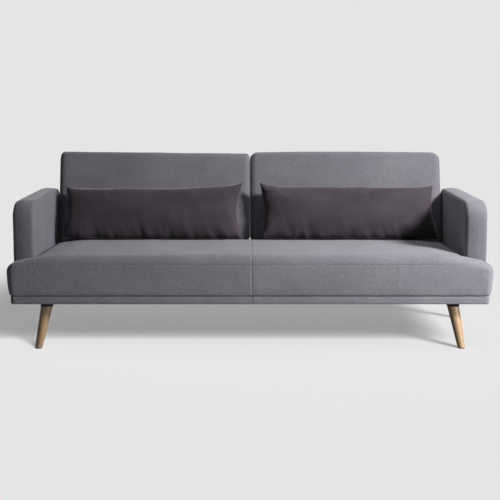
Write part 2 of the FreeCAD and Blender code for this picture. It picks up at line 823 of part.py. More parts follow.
def ratchet_arm(name):
    """The back's half of a hinge: a toothed head and a strap up the side of the back."""
    thick = dim("plate_thickness")
    half = dim("strap_width") / 2
    body = new_body(name)
    head = new_sketch(body, "YZ_Plane")
    add_circle(head, dim("wheel_root_radius"))
    pad(body, head, thick)
    strap = new_sketch(body, "YZ_Plane")
    add_loop(strap, [(-half, 0), (half, 0), (half, dim("strap_length") - 10),
                     (half - 10, dim("strap_length")), (-half + 10, dim("strap_length")),
                     (-half, dim("strap_length") - 10)])
    pad(body, strap, thick)
    tooth = new_sketch(body, "YZ_Plane")
    start = DIMENSIONS["first_tooth_angle"]
    end = start + DIMENSIONS["tooth_width_angle"]
    deep = dim("wheel_root_radius") - 2
    root = dim("wheel_root_radius")
    tip = dim("wheel_tip_radius")
    corners = [(deep, start), (tip, start), (tip, start + 1.2), (root, end), (deep, end)]
    add_loop(tooth, [(polar(r, a, 0), polar(r, a, 1)) for r, a in corners])
    one = pad(body, tooth, thick)
    ring = body.newObject("PartDesign::PolarPattern", "teeth")
    ring.Originals = [one]
    ring.Axis = (origin_part(body, "X_Axis"), [""])
    ring.Occurrences = DIMENSIONS["tooth_count"]
    bind(ring, "Angle", dim("tooth_pitch_angle") * (DIMENSIONS["tooth_count"] - 1))
    body.Tip = ring
    doc.recompute()
    holes = new_sketch(body, "YZ_Plane")
    add_circle(holes, dim("pivot_radius") + CLEAR)
    for z in STRAP_BOLTS:
        add_circle(holes, dim("bolt_radius") + CLEAR, (0, z))
    drilled = body.newObject("PartDesign::Pocket", "holes")
    drilled.Profile = holes
    drilled.Type = "ThroughAll"
    drilled.Midplane = True
    doc.recompute()
    return body


def seat_plate(name):
    """The seat's half of a hinge: a stamped plate with a pivot boss and a pawl ear."""
    thick = dim("plate_thickness")
    body = new_body(name)
    boss = new_sketch(body, "YZ_Plane")
    add_circle(boss, 17)
    pad(body, boss, thick)
    outline = new_sketch(body, "YZ_Plane")
    add_loop(outline, [(-205, -98), (-60, -98), (-30, -62), (14, -9.5), (-6, 16),
                       (-24, 38), (-46, 38), (-58, 24), (-61, -40), (-72, -56),
                       (-205, -56)])
    pad(body, outline, thick)
    holes = new_sketch(body, "YZ_Plane")
    add_circle(holes, dim("pivot_radius") + 0.02)
    add_circle(holes, 3.02, (polar(dim("pawl_pin_radius"), DIMENSIONS["pawl_pin_angle"], 0),
                             polar(dim("pawl_pin_radius"), DIMENSIONS["pawl_pin_angle"], 1)))
    add_circle(holes, 2.02, (-33, 32))
    for y in PLATE_BOLTS:
        add_circle(holes, dim("bolt_radius") + CLEAR, (y, -77))
    drilled = body.newObject("PartDesign::Pocket", "holes")
    drilled.Profile = holes
    drilled.Type = "ThroughAll"
    drilled.Midplane = True
    doc.recompute()
    return body


def pawl(name):
    """The strut that drops into the teeth. It is drawn engaged, about its own pin."""
    pin_r, pin_a = dim("pawl_pin_radius"), DIMENSIONS["pawl_pin_angle"]
    nose_a = DIMENSIONS["pawl_nose_angle"]
    pin = (polar(pin_r, pin_a, 0), polar(pin_r, pin_a, 1))

    def nose(radius, sideways):
        """A point near the teeth, from the pawl's own pin."""
        return tuple(polar(size(radius), nose_a, k)
                     + polar(size(sideways), nose_a + 90, k) - pin[k] for k in (0, 1))

    body = new_body(name)
    thick = dim("plate_thickness")
    boss = new_sketch(body, "YZ_Plane")
    add_circle(boss, 6.5)
    pad(body, boss, thick)
    outline = new_sketch(body, "YZ_Plane")
    add_loop(outline, [(-6, -2), nose(38, -1), nose(34, 3), nose(30.9, 2.2), nose(29.6, 1),
                       nose(26.7, 0.9), nose(26.7, -0.8), nose(29.5, -1.6), nose(31.2, -6),
                       (5.6, -2.5), (3.5, 17), (-2.5, 17)])
    pad(body, outline, thick)
    hole = new_sketch(body, "YZ_Plane")
    add_circle(hole, size(3) + CLEAR)
    drilled = body.newObject("PartDesign::Pocket", "pin_hole")
    drilled.Profile = hole
    drilled.Type = "ThroughAll"
    drilled.Midplane = True
    doc.recompute()
    return body


def place_at_pivot(body, x, turn=0.0, radius=0.0, angle=0.0):
    """Puts a hinge piece at the pivot, or at a radius and angle from it, turned about X."""
    y = DIMENSIONS["pivot_y"] + radius * math.cos(math.radians(angle))
    z = DIMENSIONS["pivot_z"] + radius * math.sin(math.radians(angle))
    body.Placement = FreeCAD.Placement(
        FreeCAD.Vector(x, y, z), FreeCAD.Rotation(FreeCAD.Vector(1, 0, 0), turn))
    return body


def hinges():
    thick = DIMENSIONS["plate_thickness"]
    gap = DIMENSIONS["plate_gap"]
    arm_x = {"outer": DIMENSIONS["side_rail_outer_x"] - gap - thick,
             "inner": DIMENSIONS["centre_rail_x"] + gap}
    plate_x = {"outer": DIMENSIONS["side_rail_outer_x"],
               "inner": DIMENSIONS["centre_rail_x"] - thick - 0.15}
    pawls, pins, leaves, plate_bolts, strap_bolts = [], [], [], [], []
    pin_radius = DIMENSIONS["pawl_pin_radius"]
    pin_angle = DIMENSIONS["pawl_pin_angle"]
    pin_y = dim("pivot_y") + polar(dim("pawl_pin_radius"), pin_angle, 0)
    pin_z = dim("pivot_z") + polar(dim("pawl_pin_radius"), pin_angle, 1)
    for word in ("outer", "inner"):
        lean_angle = -DIMENSIONS["lean_angle"]
        keep_pair(place_at_pivot(ratchet_arm(f"ratchet_{word}"), arm_x[word], lean_angle),
                  f"ratchet_arm_{word}")
        keep_pair(place_at_pivot(seat_plate(f"plate_{word}"), plate_x[word]),
                  f"hinge_plate_{word}")
        pawls.append(place_at_pivot(pawl(f"pawl_{word}"), arm_x[word],
                                    -DIMENSIONS["pawl_lift_angle"], pin_radius, pin_angle))
        low = min(arm_x[word], plate_x[word])
        high = max(arm_x[word], plate_x[word]) + thick
        pins.append(rod_x(3, (low, high), pin_y, pin_z))
        leaf_stem = block((arm_x[word] + 0.4, arm_x[word] + thick - 0.4),
                          (dim("pivot_y") - 32.9, dim("pivot_y") - 32.1),
                          (dim("pivot_z") + 12, dim("pivot_z") + 31))
        rivet = rod_x(2, (low, high), dim("pivot_y") - 33, dim("pivot_z") + 32)
        leaves.append(fuse([leaf_stem, rivet]))

    for y in PLATE_BOLTS:
        place = (dim("pivot_y") + y, PLATE_BOLT_Z)
        side_x = DIMENSIONS["side_rail_outer_x"]
        shank = rod_x(dim("bolt_radius"), (side_x - 22, side_x + thick), *place)
        head = rod_x(6, (side_x + thick, side_x + thick + 3.5), *place)
        right = fuse([shank, head])
        through = rod_x(dim("bolt_radius"), (-28.3, 28.3), *place)
        ends = [rod_x(6, x, *place) for x in ((28.3, 32), (-32, -28.3))]
        plate_bolts += [right, mirror(right), fuse([through] + ends)]

    keep_pair(group(pawls), "pawls")
    keep(group(pins + [mirror(p) for p in pins]), "pawl_pins")
    keep(group(leaves + [mirror(s) for s in leaves]), "pawl_leaf_springs")
    keep(group(plate_bolts), "hinge_plate_bolts")

    outer_x = arm_x["outer"]
    pin = rod_x(dim("pivot_radius"), (outer_x, plate_x["outer"] + thick + 0.3),
                dim("pivot_y"), dim("pivot_z"))
    cap = rod_x(9, (plate_x["outer"] + thick, plate_x["outer"] + thick + 3.2),
                dim("pivot_y"), dim("pivot_z"))
    outer_pin = fuse([pin, cap])
    centre_pin = rod_x(dim("pivot_radius"), (-6.6, 6.6), dim("pivot_y"), dim("pivot_z"))
    keep(group([outer_pin, mirror(outer_pin), centre_pin]), "hinge_pivots")

    for z in STRAP_BOLTS:
        shank = rod_x(dim("bolt_radius"), (846, outer_x + thick), 0, z)
        head = rod_x(6, (outer_x + thick, outer_x + thick + 2.8), 0, z)
        strap_bolts.append(fuse([shank, head]))
        inner_x = arm_x["inner"]
        shank = rod_x(dim("bolt_radius"), (inner_x, 34), 0, z)
        head = rod_x(6, (inner_x - 2.8, inner_x), 0, z)
        strap_bolts.append(fuse([shank, head]))
    keep_back(group(strap_bolts), "strap_bolts")


# Loose bolster cushions

CUSHION_STATIONS = (0.0, 0.05, 0.16, 0.5, 0.84, 0.95, 1.0)
CUSHION_FULLNESS = (0.1, 0.5, 0.84, 1.0, 0.84, 0.5, 0.1)


def cushion_form(name, inset):
    """A knife-edged cushion: lens-shaped sections lofted from end to end."""
    body = new_body(name)
    length = dim("cushion_length") - inset * 2
    half = dim("cushion_height") / 2 - inset
    sections = []
    for station, fullness in zip(CUSHION_STATIONS, CUSHION_FULLNESS):
        sketch = new_sketch(body, "YZ_Plane", length * (station - 0.5))
        bulge = (dim("cushion_thickness") / 2 - inset) * fullness
        tips = (FreeCAD.Vector(0, -half.value, 0), FreeCAD.Vector(0, half.value, 0))
        for side in (1, -1):
            crown = FreeCAD.Vector(side * bulge.value, 0, 0)
            sketch.addGeometry(Part.Arc(tips[0], crown, tips[1]))
        for k in (0, 1):
            low, high = (1, 2) if sketch.getPoint(k, 1).y < 0 else (2, 1)
            if k == 0:
                pin_point(sketch, 0, low, (0, -half))
                pin_point(sketch, 0, high, (0, half))
                ends = (low, high)
            else:
                sketch.addConstraint(Sketcher.Constraint("Coincident", 0, ends[0], 1, low))
                sketch.addConstraint(Sketcher.Constraint("Coincident", 0, ends[1], 1, high))
            radius = (half.value ** 2 + bulge.value ** 2) / (2 * bulge.value)
            text = f"(({half.text})^2 + ({bulge.text})^2) / (2 * {bulge.text})"
            c = sketch.addConstraint(Sketcher.Constraint("Radius", k, radius))
            sketch.setExpression(f"Constraints[{c}]", text)
        sections.append(sketch)
    loft = body.newObject("PartDesign::AdditiveLoft", "swell")
    loft.Profile = sections[0]
    loft.Sections = sections[1:]
    doc.recompute()
    return body


def cushions():
    """Each cushion lies against the back and stands on the seat."""
    out = -dim("back_face") - dim("cushion_gap") - dim("cushion_thickness") / 2
    up = dim("cushion_foot") + dim("cushion_height") / 2

    def stand(body):
        local = FreeCAD.Vector(DIMENSIONS["cushion_centre_x"], out.value, up.value)
        body.Placement = LEAN.multiply(FreeCAD.Placement(local, FreeCAD.Rotation()))
        return body

    outer = stand(cushion_form("cushion_outer", 0))
    inner = stand(cushion_form("cushion_inner", 1.5))
    keep_pair(inner, "cushion_filling")
    keep_pair(cut(outer, [inner]), "cushion_cover")


def check(things):
    """Stops the build at the first object that did not come out as a sound solid."""
    for thing in doc.Objects:
        if "Invalid" in thing.State or "Error" in thing.State:
            raise RuntimeError(f"{thing.Name} ({thing.Label}) failed: {thing.State}")
    for thing in things:
        shape = thing.Shape
        if shape.isNull() or not shape.isValid() or not shape.Solids:
            raise RuntimeError(f"{thing.Label} is not a valid solid")
        if any(solid.Volume <= 0 for solid in shape.Solids):
            raise RuntimeError(f"{thing.Label} has a solid with no volume")


def main():
    seat_upholstery()
    seat_border()
    seat_frame()
    seat_springs()
    arm()
    legs()
    back_half()
    hinges()
    cushions()
    doc.recompute()
    check(NODES)
    os.makedirs("parts", exist_ok=True)
    for thing in NODES:
        thing.Shape.exportStep(f"parts/{thing.Label}.step")
        print(thing.Label, len(thing.Shape.Solids), "solids")
    print(len(NODES), "nodes")


main()
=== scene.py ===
"""Looks of the click clack sofa bed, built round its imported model.

Metres. +Z is up, the front faces -Y and the floor is z = 0. The upholstered pieces are
lofted from rounded plans that follow the CAD boxes, then swollen, seamed and creased
vertex by vertex. The two loose cushions are sewn flat and blown up with cloth pressure.
"""

import json
import math

import bmesh
import bpy
import numpy as np
from mathutils import Matrix, Vector, noise

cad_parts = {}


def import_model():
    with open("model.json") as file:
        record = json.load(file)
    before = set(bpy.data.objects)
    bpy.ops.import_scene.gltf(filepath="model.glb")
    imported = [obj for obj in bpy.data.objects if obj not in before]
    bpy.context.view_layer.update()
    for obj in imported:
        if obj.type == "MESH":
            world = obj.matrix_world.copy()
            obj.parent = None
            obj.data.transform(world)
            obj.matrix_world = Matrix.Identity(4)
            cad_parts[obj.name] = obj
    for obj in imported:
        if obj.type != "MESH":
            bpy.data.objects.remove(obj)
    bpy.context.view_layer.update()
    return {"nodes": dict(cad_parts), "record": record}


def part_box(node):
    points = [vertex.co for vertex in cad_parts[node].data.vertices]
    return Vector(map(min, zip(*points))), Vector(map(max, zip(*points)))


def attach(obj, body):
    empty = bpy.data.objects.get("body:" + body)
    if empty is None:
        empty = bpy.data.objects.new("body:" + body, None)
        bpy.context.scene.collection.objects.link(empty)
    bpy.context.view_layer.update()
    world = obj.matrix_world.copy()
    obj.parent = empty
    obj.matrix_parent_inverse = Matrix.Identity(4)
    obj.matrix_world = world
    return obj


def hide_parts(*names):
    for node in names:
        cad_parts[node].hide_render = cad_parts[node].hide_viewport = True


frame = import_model()

# Sizes, some of them read off the frame's solids

seat_low, seat_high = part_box("seat_cover")
band_low, band_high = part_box("seat_border")
arm_low, arm_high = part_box("arm_cover_right")
pivot_low, pivot_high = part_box("hinge_pivots")

HALF_WIDTH = 0.980
FRONT_Y = -0.435
WING_BACK_Y = -0.300
DECK_HALF = 0.886
SEAT_REAR_Y = seat_high.y
PAD_BOTTOM = seat_low.z
PAD_TOP = seat_high.z
FLARE = 0.012
PIVOT = Vector((0, (pivot_low.y + pivot_high.y) / 2, (pivot_low.z + pivot_high.z) / 2))
LEAN = math.radians(15)
BACK_INNER_X = 0.0075
BACK_OUTER_X = 0.872
BACK_FACE = -0.060
BACK_REAR = 0.070
BACK_FOOT = -0.030
BACK_HEAD = 0.458
BACK_CROWN = 0.007
ARM_FALL = 0.020
CUSHION_X = 0.440
CUSHION_SIZE = Vector((0.802, 0.124, 0.256))
CUSHION_FOOT = 0.0305

leaning = Matrix.Translation(PIVOT) @ Matrix.Rotation(-LEAN, 4, "X")


# Small helpers

def smooth(t):
    t = np.clip(t, 0.0, 1.0)
    return t * t * (3 - 2 * t)


def bell(distance, width):
    return np.exp(-(distance / width) ** 2)


def share(value, low, high):
    return (value - low) / (high - low)


def lumps(points, size, seed):
    """Smooth noise from about -1 to 1 at each point, with lumps of about that size."""
    shift = Vector((seed * 7.3, seed * 3.1, seed * 11.7))
    return np.array([noise.noise(Vector(p) / size + shift) for p in points])


def uneven(points, seed, waves):
    """Lumps added up, from waves of a (size, height) each."""
    return sum(lumps(points, size, seed + i) * height
               for i, (size, height) in enumerate(waves))


def grid_lines(low, high, step, extra=()):
    """Evenly spaced lines from low to high, both ends included, and the extra ones."""
    count = max(1, round((high - low) / step))
    lines = [low + (high - low) * i / count for i in range(count + 1)]
    kept = [v for v in lines if all(abs(v - e) > step * 0.3 for e in extra)]
    return sorted(kept + list(extra))


def arc(centre_inset, centre_w, radius, start, end, steps):
    """Profile points round an arc; 0 degrees points out of the plan and 90 along +w."""
    points = []
    for i in range(steps + 1):
        angle = math.radians(start + (end - start) * i / steps)
        points.append((centre_inset - radius * math.cos(angle),
                       centre_w + radius * math.sin(angle)))
    return points


# Meshes and their points

WELD = 2e-5


def new_piece(name, bm):
    mesh = bpy.data.meshes.new(name)
    bm.to_mesh(mesh)
    bm.free()
    piece = bpy.data.objects.new(name, mesh)
    bpy.context.scene.collection.objects.link(piece)
    return piece


def welded(name, bm):
    """A new piece with its doubled points joined and its faces turned outwards."""
    bmesh.ops.remove_doubles(bm, verts=bm.verts, dist=WELD)
    bmesh.ops.dissolve_degenerate(bm, edges=bm.edges, dist=WELD / 2)
    bmesh.ops.recalc_face_normals(bm, faces=bm.faces)
    return new_piece(name, bm)


def subdivide(piece, levels):
    modifier = piece.modifiers.new("Subdivision", "SUBSURF")
    modifier.levels = levels
    modifier.render_levels = levels
    settle(piece)
    piece.data.shade_smooth()
    return piece


def settle(piece):
    """Applies a piece's modifiers by taking its evaluated mesh."""
    graph = bpy.context.evaluated_depsgraph_get()
    mesh = bpy.data.meshes.new_from_object(piece.evaluated_get(graph))
    old = piece.data
    piece.modifiers.clear()
    piece.data = mesh
    bpy.data.meshes.remove(old)
    mesh.name = piece.name


def vectors(items, field):
    out = np.empty(len(items) * 3)
    items.foreach_get(field, out)
    return out.reshape(-1, 3)


def points_of(piece):
    return vectors(piece.data.vertices, "co")


def points_and_normals(piece):
    return points_of(piece), vectors(piece.data.vertices, "normal")


def push(points, normals, distance):
    """Moves points out along their normals, in place."""
    points += normals * distance[:, None]


def move_to(piece, points):
    piece.data.vertices.foreach_set("co", points.ravel())
    piece.data.update()


# Lofting rounded plans

ARC_STEPS = 6


def plan_ring(corners, inset, fill, lines_u, lines_v):
    """The plan's outline drawn in by an inset, and its corners without their radii.

    Corners are (u, v, radius), anticlockwise."""
    count = len(corners)
    places, normals, runs = [], [], []
    for i in range(count):
        u0, v0, _ = corners[i - 1]
        u1, v1, _ = corners[i]
        run = Vector((u1 - u0, v1 - v0)).normalized()
        runs.append(run)
        normals.append(Vector((-run.y, run.x)))
    for i in range(count):
        n_in, n_out = normals[i], normals[(i + 1) % count]
        places.append(Vector(corners[i][:2]) + (n_in + n_out) * inset)
    ring = []
    for i in range(count):
        after = (i + 1) % count
        n_in, n_out = normals[i], normals[after]
        radius = max(corners[i][2] - inset, 0.0)
        centre = places[i] + (n_in + n_out) * radius
        for k in range(ARC_STEPS + 1):
            turn = math.pi / 2 * k / ARC_STEPS
            ring.append(centre - (n_in * math.cos(turn) + n_out * math.sin(turn)) * radius)
        run = runs[after]
        axis = 0 if abs(run.x) > 0.5 else 1
        lines = lines_u if axis == 0 else lines_v
        sign = 1 if run[axis] > 0 else -1
        start = corners[i][axis] + sign * clear_of(corners, i, fill)
        end = corners[after][axis] - sign * clear_of(corners, after, fill)
        between = [x for x in lines if sign * (x - start) > 1e-5 and sign * (end - x) > 1e-5]
        for x in sorted(between, reverse=sign < 0):
            point = places[i].copy()
            point[axis] = x
            ring.append(point)
    return ring, places


def clear_of(corners, i, fill):
    """How far from a corner the grid's own lines may start: none of it at an inner corner."""
    a, b, c = corners[i - 1], corners[i], corners[(i + 1) % len(corners)]
    turn = (b[0] - a[0]) * (c[1] - b[1]) - (b[1] - a[1]) * (c[0] - b[0])
    return max(fill, b[2]) if turn > 0 else 0.0


def inside(places, u, v):
    hit = False
    for a, b in zip(places, places[1:] + places[:1]):
        if (a.y > v) != (b.y > v) and u < (b.x - a.x) * (v - a.y) / (b.y - a.y) + a.x:
            hit = not hit
    return hit


def as_drawn(u, v, w):
    return u, v, w


def rings_of(bm, corners, profile, fill, lines_u, lines_v, place):
    """The plan's outline at each (inset, w) of the profile, as rings of vertices."""
    rings = []
    for inset, w in profile:
        ring, _ = plan_ring(corners, inset, fill, lines_u, lines_v)
        rings.append([bm.verts.new(place(p.x, p.y, w)) for p in ring])
    return rings


def bridge(bm, low, high):
    for i in range(len(low)):
        j = (i + 1) % len(low)
        bm.faces.new((low[i], low[j], high[j], high[i]))


def cap(bm, places, w, lines_u, lines_v, place):
    """Closes one end of a loft with a grid of quads."""
    us = sorted({round(x, 6) for x in lines_u + [p.x for p in places]})
    vs = sorted({round(x, 6) for x in lines_v + [p.y for p in places]})
    made = {}
    for u0, u1 in zip(us, us[1:]):
        for v0, v1 in zip(vs, vs[1:]):
            if not inside(places, (u0 + u1) / 2, (v0 + v1) / 2):
                continue
            quad = []
            for u, v in ((u0, v0), (u1, v0), (u1, v1), (u0, v1)):
                if (u, v) not in made:
                    made[(u, v)] = bm.verts.new(place(u, v, w))
                quad.append(made[(u, v)])
            bm.faces.new(quad)


def loft(name, corners, profile, lines_u, lines_v, place):
    """A closed form between the profile's first and last points."""
    fill = profile[0][0]
    bm = bmesh.new()
    rings = rings_of(bm, corners, profile, fill, lines_u, lines_v, place)
    for low, high in zip(rings, rings[1:]):
        bridge(bm, low, high)
    for inset, w in (profile[0], profile[-1]):
        _, places = plan_ring(corners, inset, fill, lines_u, lines_v)
        cap(bm, places, w, lines_u, lines_v, place)
    return subdivide(welded(name, bm), 1)


def ring_form(name, corners, profile, lines_u, lines_v, place):
    """The plan's outline round a closed profile, with nothing across the middle."""
    fill = profile[0][0]
    bm = bmesh.new()
    rings = rings_of(bm, corners, profile, fill, lines_u, lines_v, place)
    for low, high in zip(rings, rings[1:] + rings[:1]):
        bridge(bm, low, high)
    return subdivide(welded(name, bm), 1)


# Materials

class Shader:
    """A material's node tree, with one Principled shader wired to the output."""

    def __init__(self, name, color, roughness=0.8, **sockets):
        self.material = bpy.data.materials.new(name)
        self.material.use_nodes = True
        self.tree = self.material.node_tree
        self.tree.nodes.clear()
        self.output = self.tree.nodes.new("ShaderNodeOutputMaterial")
        self.shader = self.tree.nodes.new("ShaderNodeBsdfPrincipled")
        self.link(self.shader.outputs[0], self.output.inputs["Surface"])
        self.material.diffuse_color = (*color, 1)
        self.set("Base Color", (*color, 1))
        self.set("Roughness", roughness)
        for socket, value in sockets.items():
            self.set(socket.replace("_", " "), value)
        self.place = self.add("ShaderNodeTexCoord").outputs["Object"]

    def set(self, socket, value):
        self.shader.inputs[socket].default_value = value

    def add(self, kind, **settings):
        node = self.tree.nodes.new(kind)
        for key, value in settings.items():
            setattr(node, key, value)
        return node

    def link(self, a, b):
        self.tree.links.new(a, b)

    def math(self, operation, a, b=None):
        node = self.add("ShaderNodeMath", operation=operation)
        for i, value in enumerate((a, b)):
            if value is None:
                continue
            if isinstance(value, (int, float)):
                node.inputs[i].default_value = value
            else:
                self.link(value, node.inputs[i])
        return node.outputs[0]

    def stretched(self, scale, rotation=(0, 0, 0)):
        node = self.add("ShaderNodeMapping")
        node.inputs["Scale"].default_value = scale
        node.inputs["Rotation"].default_value = rotation
        self.link(self.place, node.inputs["Vector"])
        return node.outputs[0]

    def noise(self, scale, vector=None, detail=3.0, roughness=0.55):
        node = self.add("ShaderNodeTexNoise")
        node.inputs["Scale"].default_value = scale
        node.inputs["Detail"].default_value = detail
        node.inputs["Roughness"].default_value = roughness
        self.link(vector or self.place, node.inputs["Vector"])
        return node.outputs["Fac"]

    def ramp(self, factor, stops):
        node = self.add("ShaderNodeValToRGB")
        while len(node.color_ramp.elements) < len(stops):
            node.color_ramp.elements.new(0.5)
        for element, (position, color) in zip(node.color_ramp.elements, stops):
            element.position = position
            element.color = (*color, 1)
        self.link(factor, node.inputs["Fac"])
        return node.outputs["Color"]

    def mix(self, factor, a, b, blend="MIX"):
        node = self.add("ShaderNodeMix", data_type="RGBA", blend_type=blend)
        if isinstance(factor, float):
            node.inputs[0].default_value = factor
        else:
            self.link(factor, node.inputs[0])
        for value, socket in ((a, node.inputs[6]), (b, node.inputs[7])):
            if isinstance(value, tuple):
                socket.default_value = (*value, 1)
            else:
                self.link(value, socket)
        return node.outputs[2]

    def bump(self, height, strength, distance, below=None):
        node = self.add("ShaderNodeBump")
        node.inputs["Strength"].default_value = strength
        node.inputs["Distance"].default_value = distance
        self.link(height, node.inputs["Height"])
        if below is not None:
            self.link(below, node.inputs["Normal"])
        return node.outputs["Normal"]

    def color_from(self, socket):
        self.link(socket, self.shader.inputs["Base Color"])

    def rough_from(self, factor, low, high):
        node = self.add("ShaderNodeMapRange")
        node.inputs["To Min"].default_value = low
        node.inputs["To Max"].default_value = high
        self.link(factor, node.inputs["Value"])
        self.link(node.outputs["Result"], self.shader.inputs["Roughness"])

    def normal_from(self, socket):
        self.link(socket, self.shader.inputs["Normal"])


def tint(color, factor):
    return tuple(c * factor for c in color)


THREAD_WOBBLE = 5.0


def weave_height(shader, pitch):
    """Threads over and under along all three axes, so any face shows two of them."""
    wobble = shader.math("MULTIPLY", shader.noise(90.0, detail=2.0), THREAD_WOBBLE)
    split = shader.add("ShaderNodeSeparateXYZ")
    shader.link(shader.place, split.inputs[0])
    waves = []
    for axis in range(3):
        phase = shader.math("MULTIPLY", split.outputs[axis], 2 * math.pi / pitch)
        waves.append(shader.math("SINE", shader.math("ADD", phase, wobble)))
    xz = shader.math("MULTIPLY", waves[0], waves[2])
    xy = shader.math("MULTIPLY", waves[0], waves[1])
    yz = shader.math("MULTIPLY", waves[1], waves[2])
    return shader.math("ADD", shader.math("ADD", xz, xy), yz)


def linen(name, color, pitch):
    """A heathered plain weave with slubs both ways, brushed by use."""
    shader = Shader(name, color, 0.92, Sheen_Weight=0.28, Sheen_Roughness=0.45,
                    Sheen_Tint=(0.93, 0.92, 1.0, 1), Specular_IOR_Level=0.18)
    height = weave_height(shader, pitch)
    along = shader.noise(1.0, shader.stretched((70, 330, 620)), detail=4.0, roughness=0.7)
    up = shader.noise(1.0, shader.stretched((620, 330, 70)), detail=4.0, roughness=0.7)
    heather = shader.math("MULTIPLY", shader.math("ADD", along, up), 0.5)
    patches = shader.noise(5.5, detail=3.0)
    threads = shader.ramp(heather, [(0.33, tint(color, 0.66)), (0.5, color),
                                    (0.68, tint(color, 1.42))])
    brushed = shader.ramp(patches, [(0.3, (0.90, 0.90, 0.92)), (0.7, (1.08, 1.07, 1.08))])
    shader.color_from(shader.mix(1.0, threads, brushed, "MULTIPLY"))
    shader.rough_from(heather, 0.84, 0.98)
    soft = shader.bump(patches, 0.25, 0.004)
    slubs = shader.bump(heather, 0.5, 0.0009, soft)
    shader.normal_from(shader.bump(height, 0.45, 0.0005, slubs))
    return shader.material


def velvet(name, color, pitch):
    """A short brushed pile: dark face on, lighter where it turns away."""
    shader = Shader(name, color, 0.88, Sheen_Weight=0.55, Sheen_Roughness=0.35,
                    Sheen_Tint=(0.80, 0.74, 0.82, 1), Specular_IOR_Level=0.12)
    pile = shader.noise(520.0, detail=2.0)
    nap = shader.noise(9.0, shader.stretched((0.6, 1.0, 1.4)), detail=4.0, roughness=0.6)
    weave = weave_height(shader, pitch)
    base = shader.ramp(nap, [(0.3, tint(color, 0.82)), (0.7, tint(color, 1.22))])
    fleck = shader.ramp(pile, [(0.35, (0.86, 0.86, 0.86)), (0.65, (1.12, 1.12, 1.12))])
    shader.color_from(shader.mix(1.0, base, fleck, "MULTIPLY"))
    shader.rough_from(nap, 0.8, 0.95)
    rough = shader.bump(pile, 0.35, 0.0006)
    shader.normal_from(shader.bump(weave, 0.2, 0.0003, rough))
    return shader.material


def timber(name, color, tilt, gloss, ring=34.0):
    """Grain running up the piece's own length, with growth rings and open pores."""
    shader = Shader(name, color, gloss, Specular_IOR_Level=0.4)
    grain = shader.stretched((1, 1, 0.07), tilt)
    broad = shader.noise(ring, grain, detail=3.0, roughness=0.5)
    fine = shader.noise(420.0, grain, detail=5.0, roughness=0.7)
    pores = shader.noise(900.0, shader.stretched((1, 1, 0.03), tilt), detail=2.0)
    rings = shader.ramp(broad, [(0.28, tint(color, 0.68)), (0.46, color),
                                (0.60, tint(color, 1.2)), (0.74, tint(color, 0.8))])
    streaks = shader.ramp(fine, [(0.3, (0.80, 0.77, 0.72)), (0.62, (1.06, 1.05, 1.03))])
    open_pores = shader.ramp(pores, [(0.34, (0.62, 0.55, 0.48)), (0.42, (1, 1, 1))])
    tone = shader.mix(1.0, rings, streaks, "MULTIPLY")
    shader.color_from(shader.mix(0.7, tone, open_pores, "MULTIPLY"))
    shader.rough_from(fine, gloss - 0.08, gloss + 0.12)
    shader.normal_from(shader.bump(fine, 0.25, 0.0006))
    return shader.material


def metal(name, color, roughness):
    """Pressed or drawn steel with a thin plating, scuffs and a little dullness."""
    shader = Shader(name, color, roughness, Metallic=1.0)
    scuffs = shader.noise(160.0, shader.stretched((1, 6, 1)), detail=5.0, roughness=0.7)
    cloud = shader.noise(40.0, detail=3.0)
    shader.color_from(shader.ramp(cloud, [(0.3, tint(color, 0.82)), (0.7, color)]))
    shader.rough_from(scuffs, roughness - 0.08, roughness + 0.18)
    shader.normal_from(shader.bump(scuffs, 0.12, 0.0004))
    return shader.material


def plastic(name, color, roughness):
    """Moulded plastic with a fine grain and handling marks."""
    shader = Shader(name, color, roughness, Specular_IOR_Level=0.35)
    grain = shader.noise(1400.0, detail=2.0)
    marks = shader.noise(60.0, detail=4.0, roughness=0.7)
    shader.color_from(shader.ramp(marks, [(0.35, color), (0.7, tint(color, 1.6))]))
    shader.rough_from(marks, roughness - 0.08, roughness + 0.1)
    shader.normal_from(shader.bump(grain, 0.3, 0.0002))
    return shader.material


def plain_cloth(name, color, scale=700.0):
    """Non-woven felt, webbing and other hidden cloth: matted fibres and faint creases."""
    shader = Shader(name, color, 0.95, Specular_IOR_Level=0.1)
    fibres = shader.noise(scale, detail=3.0, roughness=0.7)
    creases = shader.noise(12.0, detail=4.0)
    shader.color_from(shader.ramp(fibres, [(0.3, tint(color, 0.7)), (0.7, tint(color, 1.35))]))
    shader.normal_from(shader.bump(fibres, 0.4, 0.0004, shader.bump(creases, 0.3, 0.003)))
    return shader.material


# Colours, and the material of each slot

GREY = (0.192, 0.188, 0.212)
PLUM = (0.063, 0.053, 0.063)
OAK = (0.32, 0.21, 0.12)
PINE = (0.56, 0.40, 0.24)
LEG_TILT = math.atan2(0.035, 0.187)
LYING = (math.pi / 2, 0, 0)

FABRIC = linen("grey_linen", GREY, 0.0021)
PILE = velvet("plum_velvet", PLUM, 0.0016)
SLOT_MATERIALS = {
    "frame_timber": timber("sawn_pine", PINE, LYING, 0.7, 22.0),
    "black_plastic": plastic("black_plastic", (0.012, 0.012, 0.012), 0.5),
    "spring_steel": metal("spring_steel", (0.16, 0.16, 0.17), 0.42),
    "zinc_steel": metal("zinc_plate", (0.52, 0.52, 0.50), 0.36),
    "fasteners": metal("zinc_fasteners", (0.58, 0.57, 0.54), 0.30),
    "webbing": plain_cloth("elastic_webbing", (0.09, 0.065, 0.045), 500.0),
    "black_cloth": plain_cloth("black_felt", (0.013, 0.013, 0.014)),
    "foam": plain_cloth("pale_foam", (0.70, 0.64, 0.48), 900.0),
    "upholstery": FABRIC,
    "cushion_fabric": PILE,
}
slot_of = {part["node"]: part["material_slot"] for part in frame["record"]["subparts"]}


def dress(node, material):
    node.data.materials.clear()
    node.data.materials.append(material)


